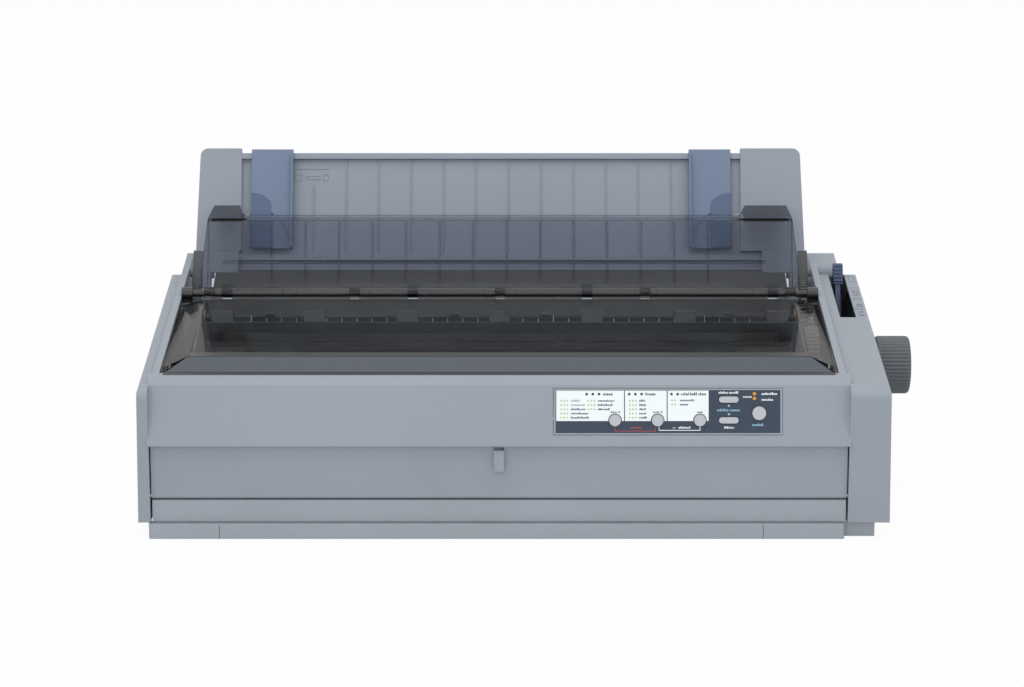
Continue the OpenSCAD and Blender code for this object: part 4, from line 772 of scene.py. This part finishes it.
def plainCurve(tree, value, points):
    # a broken line through (along, height) points, all between 0 and 1
    node = addNode(tree, "ShaderNodeFloatCurve", {"Value": value})
    curve = node.mapping.curves[0]
    while len(curve.points) < len(points):
        curve.points.new(0.5, 0.5)
    for point, (along, height) in zip(curve.points, points):
        point.location = (along, height)
        point.handle_type = "VECTOR"
    node.mapping.update()
    return node.outputs[0]


def buildFlutedKnob(outline):
    # a sheet rolled round X: its radius and reach follow the outline, and its flutes a cosine
    tree, start, end = newTree("flutedKnob", [
        ("Radius", "Float", 0.0245), ("Length", "Float", 0.0298), ("Flutes", "Int", 46),
        ("Flute Depth", "Float", 0.00115), ("Steps", "Int", 6), ("Place", "Vector", None),
        ("Finish", "Material", None)])
    ins = start.outputs
    columns = calc(tree, "ADD", calc(tree, "MULTIPLY", ins["Flutes"], ins["Steps"]), 1.0)
    sheet = addNode(tree, "GeometryNodeMeshGrid", {"Size X": 1.0, "Size Y": 1.0, "Vertices X": columns,
                                                   "Vertices Y": outline["rings"]})
    place = addNode(tree, "ShaderNodeSeparateXYZ",
                    {"Vector": addNode(tree, "GeometryNodeInputPosition").outputs[0]})
    angle = calc(tree, "MULTIPLY", calc(tree, "ADD", place.outputs["X"], 0.5), math.tau)
    along = calc(tree, "ADD", place.outputs["Y"], 0.5)
    ripple = calc(tree, "COSINE", calc(tree, "MULTIPLY", angle, ins["Flutes"]))
    wave = calc(tree, "SUBTRACT", 0.5, calc(tree, "MULTIPLY", 0.5, ripple))
    sharp = calc(tree, "POWER", wave, outline["fluteSharpness"])
    groove = calc(tree, "MULTIPLY", sharp, plainCurve(tree, along, outline["fluteFade"]))
    smooth = calc(tree, "MULTIPLY", plainCurve(tree, along, outline["radius"]), ins["Radius"])
    reach = calc(tree, "SUBTRACT", smooth, calc(tree, "MULTIPLY", groove, ins["Flute Depth"]))
    rolled = vectorOf(tree, calc(tree, "MULTIPLY", plainCurve(tree, along, outline["reach"]), ins["Length"]),
                      calc(tree, "MULTIPLY", reach, calc(tree, "COSINE", angle)),
                      calc(tree, "MULTIPLY", reach, calc(tree, "SINE", angle)))
    knob = addNode(tree, "GeometryNodeSetPosition", {"Geometry": sheet.outputs[0], "Position": rolled})
    joined = addNode(tree, "GeometryNodeMergeByDistance", {"Geometry": knob.outputs[0], "Distance": 0.000002})
    stood = addNode(tree, "GeometryNodeTransform",
                    {"Geometry": joined.outputs[0], "Translation": ins["Place"]})
    closeTree(tree, start, end, stood.outputs[0])
    return tree


dotField = buildDotField()
tickRow = buildTickRow()
screwSet = buildScrewSet()
print("trees built")


# control panel

panelPlan = {
    "whiteField": (46.0, 20.7, 168.4, 45.2),
    "dividers": (100.8, 135.1), "dividerWidth": 0.75,
    "headRow": 42.3, "headDot": 2.2,
    "headDots": ((70.4, 3), (104.6, 3), (138.6, 2)), "headStep": 4.95,
    "lampWidth": 1.3,
    # first column, first row, columns, rows, as the lamps of the overlay stand
    "lampGroups": ((49.9, 23.4, 3, 5), (71.8, 30.2, 3, 3), (105.0, 23.4, 3, 5), (139.0, 34.0, 2, 2)),
    "lampStep": 2.5, "lampRowStep": 3.4,
    # x, height, width, size, ink
    "words": (
        (83.6, 41.3, 7.6, 2.3, 1), (117.6, 41.3, 8.6, 2.3, 1), (146.4, 41.3, 6.2, 2.3, 1),
        (153.4, 41.3, 5.6, 2.3, 1), (160.2, 41.3, 6.6, 2.3, 1), (57.8, 36.2, 7.0, 1.7, 2),
        (57.8, 32.8, 11.0, 1.7, 2), (57.8, 29.4, 11.6, 1.7, 1), (57.8, 26.0, 13.8, 1.7, 1),
        (57.8, 22.6, 14.6, 1.7, 1), (79.4, 36.2, 13.2, 1.7, 1), (79.4, 32.8, 11.6, 1.7, 1),
        (79.4, 29.4, 9.6, 1.7, 1), (112.6, 36.2, 5.4, 1.7, 1), (112.6, 32.8, 5.4, 1.7, 1),
        (112.6, 29.4, 5.4, 1.7, 1), (112.6, 26.0, 5.4, 1.7, 1), (112.6, 22.6, 6.0, 1.7, 1),
        (145.4, 36.6, 11.6, 1.7, 1), (145.4, 33.2, 6.8, 1.7, 1), (89.8, 27.2, 5.4, 1.3, 1),
        (123.6, 27.2, 5.4, 1.3, 1), (159.2, 27.2, 4.4, 1.3, 1), (176.4, 42.7, 7.4, 1.9, 0),
        (184.8, 42.7, 7.6, 1.9, 0), (196.2, 39.4, 6.6, 1.8, 0), (211.0, 41.7, 12.6, 1.9, 0),
        (211.0, 37.0, 9.2, 1.9, 0), (180.8, 14.6, 8.0, 1.8, 0), (144.2, 14.6, 9.4, 1.8, 0),
        (139.4, 14.9, 2.6, 0.7, 0), (175.2, 28.5, 9.0, 2.1, 4), (185.4, 28.5, 8.6, 2.1, 4),
        (203.4, 16.7, 8.8, 1.9, 4), (105.6, 14.6, 9.0, 1.8, 3),
    ),
    "inks": ("inkWhite", "inkSlate", "inkPale", "inkRed", "inkSky"),
    "arrows": ((96.9, 27.9, 1), (130.7, 27.9, 1)),
    "arrowBack": 0.7, "arrowTip": 0.8, "arrowHalf": 0.9,
    "diamonds": ((184.7, 32.9), (184.7, 26.2)), "diamondWidth": 2.3, "diamondInk": 4,
    # the brackets that join the three round buttons: x of both ends, lowest height, ink
    "brackets": ((93.2, 125.6, 12.6, 3), (128.6, 161.4, 13.2, 0)), "bracketTop": 16.4, "bracketWidth": 0.55,
    "buttonRings": ((93.2, 21.2), (127.4, 21.2), (161.4, 21.2)), "ringWidth": 10.9,
    # heights over the film: where print starts, the white field, what is printed on it
    "ground": -0.02, "first": 0.03, "second": 0.05,
    "dotOut": 0.02, "dotThickness": 0.1, "lampOut": 0.16, "lampThickness": 0.35,
    "pausePlace": (205.2, 38.9, 0.2), "pauseStep": 3.7, "pauseWidth": 2.8, "pauseThickness": 0.5,
}


def makePanelPrint(plan):
    shape = bmesh.new()
    ground, first, second = plan["ground"], plan["first"], plan["second"]
    # the white field goes round the buttons
    x0, y0, x1, y1 = plan["whiteField"]
    gap = plan["dividerWidth"] / 2
    edges = [x0] + [x for cut in plan["dividers"] for x in (cut - gap, cut + gap)] + [x1]
    for left, right, (bx, by) in zip(edges[::2], edges[1::2], plan["buttonRings"]):
        field = fieldOutline(left, y0, right, y1, bx, by, plan["ringWidth"] / 2)
        addPrism(shape, field, onFilm, ground, first, 0)
    for i, (x, height, width, size, ink) in enumerate(plan["words"]):
        addWord(shape, onFilm, x, height, width, size, ground, second, ink, seed=i)
    for x, height, ink in plan["arrows"]:
        rear, half = x - plan["arrowBack"], plan["arrowHalf"]
        arrow = [(rear, height - half), (x + plan["arrowTip"], height), (rear, height + half)]
        addPrism(shape, arrow, onFilm, ground, second, ink)
    half = plan["diamondWidth"] / 2
    for x, height in plan["diamonds"]:
        diamond = [(x, height - half), (x + half, height), (x, height + half), (x - half, height)]
        addPrism(shape, diamond, onFilm, ground, second, plan["diamondInk"])
    wide, top = plan["bracketWidth"] / 2, plan["bracketTop"]
    for left, right, low, ink in plan["brackets"]:
        foot = barOutline(left - wide, low - wide, right + wide, low + wide)
        addPrism(shape, foot, onFilm, ground, second, ink)
        for x in (left, right):
            addPrism(shape, barOutline(x - wide, low + wide, x + wide, top), onFilm, ground, second, ink)
    finishPiece("panelPrint", shape, plan["inks"], "case")


def fieldOutline(x0, y0, x1, y1, bx, by, radius, steps=18):
    # a rectangle whose lower edge curves up over a round button
    half = math.sqrt(radius ** 2 - (by - y0) ** 2)
    start, stop = math.atan2(y0 - by, half), math.atan2(y0 - by, -half) % math.tau
    arch = [(bx + radius * math.cos(start + (stop - start) * i / steps),
             by + radius * math.sin(start + (stop - start) * i / steps)) for i in range(steps + 1)]
    if bx + half >= x1:
        return [(x0, y0), (bx - half, y0)] + arch[::-1][1:] + [(x1, y0), (x1, y1), (x0, y1)]
    return [(x0, y0)] + arch[::-1] + [(x1, y0), (x1, y1), (x0, y1)]


def addDots(name, look, x, height, out, columns, rows, width, thickness, step=0.0, rowStep=0.0):
    lean = math.radians(90 - slopes["panel"][2])
    runTree(name, dotField, {
        "Columns": columns, "Rows": rows, "Column Step": step / 1000, "Row Step": rowStep / 1000,
        "Width": width / 1000, "Thickness": thickness / 1000, "Place": onFilm(x, height, out),
        "Turn": (lean, 0.0, 0.0)}, look, "case")


def makePanelDots(plan):
    for number, (x, count) in enumerate(plan["headDots"]):
        addDots("headDots" + str(number), "inkSlate", x, plan["headRow"], plan["dotOut"], count, 1,
                plan["headDot"], plan["dotThickness"], plan["headStep"])
    for number, (x, height, columns, rows) in enumerate(plan["lampGroups"]):
        addDots("statusLamps" + str(number), "lampGreen", x, height, plan["lampOut"], columns, rows,
                plan["lampWidth"], plan["lampThickness"], plan["lampStep"], plan["lampRowStep"])
    addDots("pauseLamps", "lampAmber", *plan["pausePlace"], 1, 2, plan["pauseWidth"],
            plan["pauseThickness"], rowStep=plan["pauseStep"])


makePanelPrint(panelPlan)
makePanelDots(panelPlan)
print("control panel printed")


# platen knob

knobPlan = {
    "radius": 24.5, "length": 29.8, "flutes": 46, "fluteDepth": 1.15, "place": (317.2, 163.0, 104.0),
    "rimRound": 3.4, "foot": 2.0, "footLength": 3.0, "hollowRadius": 16.5,
    "hollowDepth": 1.5, "hollowSlope": 0.3,
    "fluteSteps": 6, "fluteSharpness": 1.8, "rings": 51, "join": 0.003,
}


def knobOutline(plan):
    radius, length, rim = plan["radius"], plan["length"], plan["rimRound"]
    turns = [math.radians(a) for a in (0, 22.5, 45, 67.5, 90)]
    # share of the way along the sheet, radius and reach there
    rings = [(0.0, 0.0, 0.0), (0.06, radius - plan["foot"], 0.0), (0.12, radius, plan["footLength"])]
    rings += [(0.56 + 0.04 * i, radius - rim + rim * math.cos(a), length - rim + rim * math.sin(a))
              for i, a in enumerate(turns)]
    hollow, floor = plan["hollowRadius"], length - plan["hollowDepth"]
    rings += [(0.82, hollow, length), (0.84, hollow - plan["hollowSlope"], floor), (1.0, 0.0, floor)]
    return {"radius": [(v, r / radius) for v, r, x in rings], "reach": [(v, x / length) for v, r, x in rings],
            "fluteFade": [(0.0, 0.0), (0.12, 0.0), (0.16, 1.0), (0.6, 1.0), (0.72, 0.0), (1.0, 0.0)],
            "fluteSharpness": plan["fluteSharpness"], "rings": plan["rings"]}


def makeKnob(plan):
    tree = buildFlutedKnob(knobOutline(plan))
    knob = runTree("platenKnob", tree, {
        "Radius": plan["radius"] / 1000, "Length": plan["length"] / 1000, "Flutes": plan["flutes"],
        "Steps": plan["fluteSteps"], "Flute Depth": plan["fluteDepth"] / 1000,
        "Place": onPrinter(*plan["place"])}, "knobGrey", "platen")
    shape = bmesh.new()
    shape.from_mesh(knob.data)
    bmesh.ops.remove_doubles(shape, verts=shape.verts, dist=plan["join"] / 1000)
    bmesh.ops.recalc_face_normals(shape, faces=shape.faces)
    shape.to_mesh(knob.data)
    shape.free()
    knob.data.shade_smooth()
    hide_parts("platen_knob")


makeKnob(knobPlan)
print("platen knob turned")


# what shows through the smoked cover

underCoverPlan = {
    "railLow": 127.0, "railHigh": 138.2, "railFront": 188.6, "railBack": 189.4, "railHalf": 236.0,
    "tickCount": 34, "tickStep": 12.9, "tickFirst": -212.2, "tickMiddle": 134.6, "tickOut": 0.02,
    "tickWidth": 0.55, "tickHeight": 4.6, "tickThickness": 0.2, "longEvery": 10, "longFactor": 2.0,
    "housingStep": 79.0, "housingSides": 3, "housingWide": 18.0, "housingLow": 127.4, "housingHigh": 143.6,
    "housingFront": 186.9, "housingBack": 188.5, "postWide": 2.2, "postHigh": 4,
}


def makeUnderCover(plan):
    shape = bmesh.new()
    half = plan["railHalf"]
    addPrism(shape, barOutline(-half, plan["railLow"], half, plan["railHigh"]), onFront, -plan["railBack"],
             -plan["railFront"])
    finishPiece("scaleRail", shape, ["innerDark"], "case")
    shape = bmesh.new()
    half = plan["housingWide"] / 2
    inner = half - plan["postWide"]
    low, high = plan["housingLow"], plan["housingHigh"]
    under = low + plan["postHigh"]
    for i in range(-plan["housingSides"], plan["housingSides"] + 1):
        x = i * plan["housingStep"]
        arch = [(x - half, low), (x - inner, low), (x - inner, under), (x + inner, under), (x + inner, low),
                (x + half, low), (x + half, high), (x - half, high)]
        addPrism(shape, arch, onFront, -plan["housingBack"], -plan["housingFront"])
    finishPiece("rollerHousings", shape, ["housingGrey"], "case")
    runTree("scaleTicks", tickRow, {
        "Count": plan["tickCount"], "Step": plan["tickStep"] / 1000, "Long Every": plan["longEvery"],
        "Long Factor": plan["longFactor"],
        "Size": (plan["tickWidth"] / 1000, plan["tickThickness"] / 1000, plan["tickHeight"] / 1000),
        "Place": onPrinter(plan["tickFirst"], plan["railFront"] - plan["tickOut"], plan["tickMiddle"])},
        "inkWhite", "case")


makeUnderCover(underCoverPlan)
print("scale and rollers set under the cover")


# plinth along the foot of the front

plinthPlan = {
    "left": -283.4, "right": 279.4, "front": 1.2, "back": 9.4, "low": 1.0, "high": 13.7, "chamfer": 1.2,
}


def makePlinth(plan):
    shape = bmesh.new()
    left, right, front, back, corner = (plan[key] for key in ("left", "right", "front", "back", "chamfer"))
    outline = [(left, back), (left, front + corner), (left + corner, front), (right - corner, front),
               (right, front + corner), (right, back)]
    addPrism(shape, outline, onPrinter, plan["low"], plan["high"])
    finishPiece("basePlinth", shape, ["baseGrey"], "case")


makePlinth(plinthPlan)


# cheeks at the foot of the sheet guide; their outer parts are dark grey, painted shade of the printer's
# inside, and their inner parts carry on the guide's grey

cheekPlan = {
    "inner": 231.0, "step": 254.6, "seam": 262.5, "outer": 273.0, "taper": 2,
    "low": -30.0, "middle": -0.6, "high": 19.5, "front": 4.6, "back": 3.4,
}


def makeCheeks(plan):
    shape = bmesh.new()
    inner, step, seam, outer = plan["inner"], plan["step"], plan["seam"], plan["outer"]
    low, middle, high, taper = plan["low"], plan["middle"], plan["high"], plan["taper"]
    for side in (-1, 1):
        outerPart = [(side * seam, low), (side * outer, low + taper), (side * (outer - taper), high),
                     (side * seam, high)]
        innerPart = [(side * step, low), (side * seam, low), (side * seam, high), (side * inner, high),
                     (side * inner, middle), (side * step, middle)]
        # painted shade: the outer part is a dark sheet where the inside of the printer lies in shade
        addPrism(shape, outerPart[::side], onGuide, plan["back"], plan["front"], 0)
        addPrism(shape, innerPart[::side], onGuide, plan["back"], plan["front"], 1)
    finishPiece("guideCheeks", shape, ["cheekShadeGrey", "guideGrey"], "sheet_guide")


makeCheeks(cheekPlan)
print("plinth and guide cheeks fitted")


# darker lower corners of the blue edge guides

cornerPlan = {
    "width": 18.2, "top": 71.5, "shoulder": 59.0, "foot": 21.5, "back": 5.25, "front": 6.9, "steps": 8,
}


def makeGuideCorner(name, outer, inward, plan):
    # the corner hangs at the outer edge and its top falls in a quarter curve
    shape = bmesh.new()
    turns = [math.radians(90 * i / plan["steps"]) for i in range(plan["steps"] + 1)]
    wide, rise = inward * plan["width"], plan["top"] - plan["shoulder"]
    curve = [(outer + wide * math.sin(a), plan["shoulder"] + rise * math.cos(a)) for a in turns]
    outline = curve + [(outer + wide, plan["foot"]), (outer, plan["foot"])]
    addPrism(shape, outline[::-inward], onGuide, plan["back"], plan["front"])
    finishPiece(name + "_corner", shape, ["guideShade"], name)


for name, inward in (("edge_guide_left", 1), ("edge_guide_right", -1)):
    corners = [nodes[name].matrix_world @ Vector(corner) for corner in nodes[name].bound_box]
    reach = [(corner.x - printLine.x) * 1000 for corner in corners]
    makeGuideCorner(name, min(reach) if inward > 0 else max(reach), inward, cornerPlan)
print("edge guide corners laid")


# painted shade: dark sheets over the well's side walls and a black bar in the gap before the cover; painted
# reflection and shade on the cover's front bevel

paintedLightPlan = {
    # front bevel of the cover: lower and upper edge in Y and Z, half widths there
    "bevelFoot": (24.7, 132.6), "bevelHead": (49.0, 141.5), "footHalf": 271.6, "headHalf": 252.4,
    "shadowLineLow": 0.3, "bandLow": 3.4, "bandHigh": 24.6, "shadeDepth": 10.0, "skin": 0.06, "flatTilt": 2.9,
    "wellShadeNear": 273.15, "wellShadeFar": 273.9, "wellShadeFront": 26.0, "wellShadeBack": 211.0, "wellShadeLow": 62.0,
    "rimTop": (133.8, 21.7, 5.25),    # the rim's front edge in Z and Y, its rise in degrees
    "wellShadeDrop": 1.6,
    "gapShadowBack": 24.1, "gapShadowFront": 20.8, "gapShadowHalf": 271.0, "gapShadowSink": 0.3, "gapShadowRise": 0.12,
}


def onBevel(x, along, out):
    (footY, footZ), (headY, headZ) = paintedLightPlan["bevelFoot"], paintedLightPlan["bevelHead"]
    return onTilted(x, footY, footZ, math.atan2(headZ - footZ, headY - footY), along, out)


def onCoverFlat(x, along, out):
    return onTilted(x, *paintedLightPlan["bevelHead"], math.radians(paintedLightPlan["flatTilt"]), along, out)


def makeCoverTrim(plan):
    shape = bmesh.new()
    length = math.dist(plan["bevelFoot"], plan["bevelHead"])
    narrows = (plan["headHalf"] - plan["footHalf"]) / length
    skin = plan["skin"] / 3, plan["skin"]
    # painted reflection: the grey band stands for what the bevel reflects; painted shade: the black line
    # under it is the shadow gap before the cover
    for low, high, slot in ((plan["shadowLineLow"], plan["bandLow"], 1), (plan["bandLow"], plan["bandHigh"], 0),
                            (plan["bandHigh"], length, 1)):
        foot, head = (plan["footHalf"] + narrows * along for along in (low, high))
        addPrism(shape, [(-foot, low), (foot, low), (head, high), (-head, high)], onBevel, *skin, slot)
    # painted shade: a black strip on the flat just above the bevel
    half = plan["headHalf"]
    addPrism(shape, barOutline(-half, 0.0, half, plan["shadeDepth"]), onCoverFlat, *skin, 1)
    finishPiece("coverTrim", shape, ["bevelReflectionGrey", "paintedShadeBlack"], "printer_cover")


def onSide(y, z, x):
    return onPrinter(x, y, z)


def makeLining(plan):
    shape = bmesh.new()
    rimZ, rimY, rise = plan["rimTop"]
    slant = math.tan(math.radians(rise))
    front, back, foot = plan["wellShadeFront"], plan["wellShadeBack"], plan["wellShadeLow"]
    frontTop, backTop = (rimZ + (y - rimY) * slant - plan["wellShadeDrop"] for y in (front, back))
    outline = [(front, foot), (back, foot), (back, backTop), (front, frontTop)]
    # painted shade: dark sheets over the well's side walls, where they lie in shade
    for side in (-1, 1):
        near, far = sorted((side * plan["wellShadeNear"], side * plan["wellShadeFar"]))
        addPrism(shape, outline, onSide, near, far)
    # painted shadow: a black bar on the rim in the gap before the cover's front edge
    half = plan["gapShadowHalf"]
    addPrism(shape, barOutline(-half, plan["gapShadowFront"], half, plan["gapShadowBack"]), onPrinter,
             rimZ - plan["gapShadowSink"], rimZ + plan["gapShadowRise"])
    finishPiece("wellLining", shape, ["paintedShadeBlack"], "case")


makeCoverTrim(paintedLightPlan)
makeLining(paintedLightPlan)
print("cover trim and well lining fitted")


# raised marks and seams of the casings

markPlan = {
    "raise": 0.35, "sink": -0.3, "line": 0.55, "boxLine": 0.77,
    # lever scale beside the slot: lines as x0, y, x1, boxes as x0, y0, x1, y1
    "scaleLines": ((304.9, 252.0, 312.3), (304.6, 223.0, 312.0), (304.2, 197.0, 311.8)),
    "scaleBoxes": ((306.0, 268.0, 311.5, 284.0), (306.2, 231.0, 308.4, 245.0), (309.4, 231.0, 311.6, 245.0),
                   (306.0, 203.0, 311.6, 209.0), (306.0, 180.0, 311.2, 190.0)),
    "guideBoxes": ((-182.6, 84.0, -176.0, 90.0), (-172.6, 85.0, -160.0, 88.5), (-157.4, 84.0, -152.6, 90.0)),
    "guideLine": (-183.0, 94.6, -152.0),
    "seamWidth": 0.5, "seamRise": 0.05,
    "baseSeams": (-226.4, 213.7), "seamLow": 1.2, "seamHigh": 12.6,
}


def addFrameOf(shape, x0, y0, x1, y1, line, place, low, high):
    # four bars round a rectangle
    for box in ((x0, y0, x1, y0 + line), (x0, y1 - line, x1, y1), (x0, y0 + line, x0 + line, y1 - line),
                (x1 - line, y0 + line, x1, y1 - line)):
        addPrism(shape, barOutline(*box), place, low, high)


def makeMarks(plan):
    shape = bmesh.new()
    line, low, high = plan["line"], plan["sink"], plan["raise"]
    for x0, y, x1 in plan["scaleLines"]:
        addPrism(shape, barOutline(x0, y - line, x1, y + line), onShoulder, low, high)
    for box in plan["scaleBoxes"]:
        addFrameOf(shape, *box, plan["boxLine"], onShoulder, low, high)
    finishPiece("leverScale", shape, ["caseGrey"], "case")
    shape = bmesh.new()
    for box in plan["guideBoxes"]:
        addFrameOf(shape, *box, line, onGuide, low, high)
    x0, y, x1 = plan["guideLine"]
    addPrism(shape, barOutline(x0, y - line / 2, x1, y + line / 2), onGuide, low, high)
    finishPiece("guideMark", shape, ["guideGrey"], "sheet_guide")
    shape = bmesh.new()
    half, face = plan["seamWidth"] / 2, -plinthPlan["front"]
    for x in plan["baseSeams"]:
        seam = barOutline(x - half, plan["seamLow"], x + half, plan["seamHigh"])
        addPrism(shape, seam, onFront, face + low, face + plan["seamRise"])
    finishPiece("baseSeams", shape, ["innerDark"], "case")


makeMarks(markPlan)
print("marks and seams laid")


# screws

screwPlan = {
    "head": 5.6, "height": 2.2, "crossWidth": 0.8, "crossLength": 3.2, "steps": 20, "sink": 0.3,
    # rings of the head: shares of its half width and of its height
    "rings": ((1.0, 0.35), (0.92, 0.68), (0.72, 0.9), (0.42, 1.0)), "crossDepth": 0.5,
    # x, y, z and the way that the screw's head faces
    "onSteel": (
        (-232, 216, 62, "+z"), (-106, 216, 62, "+z"), (-232, 356, 62, "+z"), (-106, 356, 62, "+z"),
        (-52, 208, 31.6, "+z"), (192, 208, 31.6, "+z"), (-52, 360, 31.6, "+z"), (192, 360, 31.6, "+z"),
        (256, 41, 67, "+x"), (256, 377, 92, "+x"), (-256, 41, 67, "-x"), (-256, 377, 92, "-x"),
        (-240, 90, 12, "+z"), (240, 90, 12, "+z"),
    ),
}


def asGiven(x, y, z):
    return x, y, z


def makeScrewShape(plan):
    shape = bmesh.new()
    half, high, steps = plan["head"] / 2000, plan["height"] / 1000, plan["steps"]
    rings = [(half, -plan["sink"] / 1000)] + [(half * wide, high * up) for wide, up in plan["rings"]]
    loops = [[shape.verts.new((r * math.cos(i * math.tau / steps), r * math.sin(i * math.tau / steps), z))
              for i in range(steps)] for r, z in rings]
    for lower, upper in zip(loops, loops[1:]):
        for i in range(steps):
            j = (i + 1) % steps
            shape.faces.new((lower[i], lower[j], upper[j], upper[i]))
    shape.faces.new(loops[-1])
    shape.faces.new(loops[0][::-1])
    head = addObject("screwHead", meshOf(shape, "screwHead"))
    shape = bmesh.new()
    long, wide = plan["crossLength"] / 2000, plan["crossWidth"] / 2000
    outline = [(long, wide), (wide, wide), (wide, long), (-wide, long), (-wide, wide), (-long, wide),
               (-long, -wide), (-wide, -wide), (-wide, -long), (wide, -long), (wide, -wide), (long, -wide)]
    addPrism(shape, outline, asGiven, high * plan["crossDepth"], high * 2)
    cross = addObject("screwCross", meshOf(shape, "screwCross"))
    cut = head.modifiers.new("cross", "BOOLEAN")
    cut.object = cross
    cut.solver = "EXACT"
    made = bpy.data.meshes.new_from_object(head.evaluated_get(bpy.context.evaluated_depsgraph_get()))
    head.modifiers.remove(cut)
    head.data = made
    bpy.data.objects.remove(cross)
    return head


def makeScrews(plan):
    head = makeScrewShape(plan)
    ways = {"+z": (0, 0, 1), "+x": (1, 0, 0), "-x": (-1, 0, 0)}
    base = bpy.data.meshes.new("screwPlaces")
    base.from_pydata([onPrinter(x, y, z) for x, y, z, way in plan["onSteel"]], [], [])
    axis = base.attributes.new("axis", "FLOAT_VECTOR", "POINT")
    for place, (x, y, z, way) in zip(axis.data, plan["onSteel"]):
        place.vector = ways[way]
    runTree("frameScrews", screwSet, {"Screw": head, "Size": 1.0, "Seed": 7}, "turnedSteel", "case",
            base)
    bpy.data.objects.remove(head)


makeScrews(screwPlan)
print("screws set")
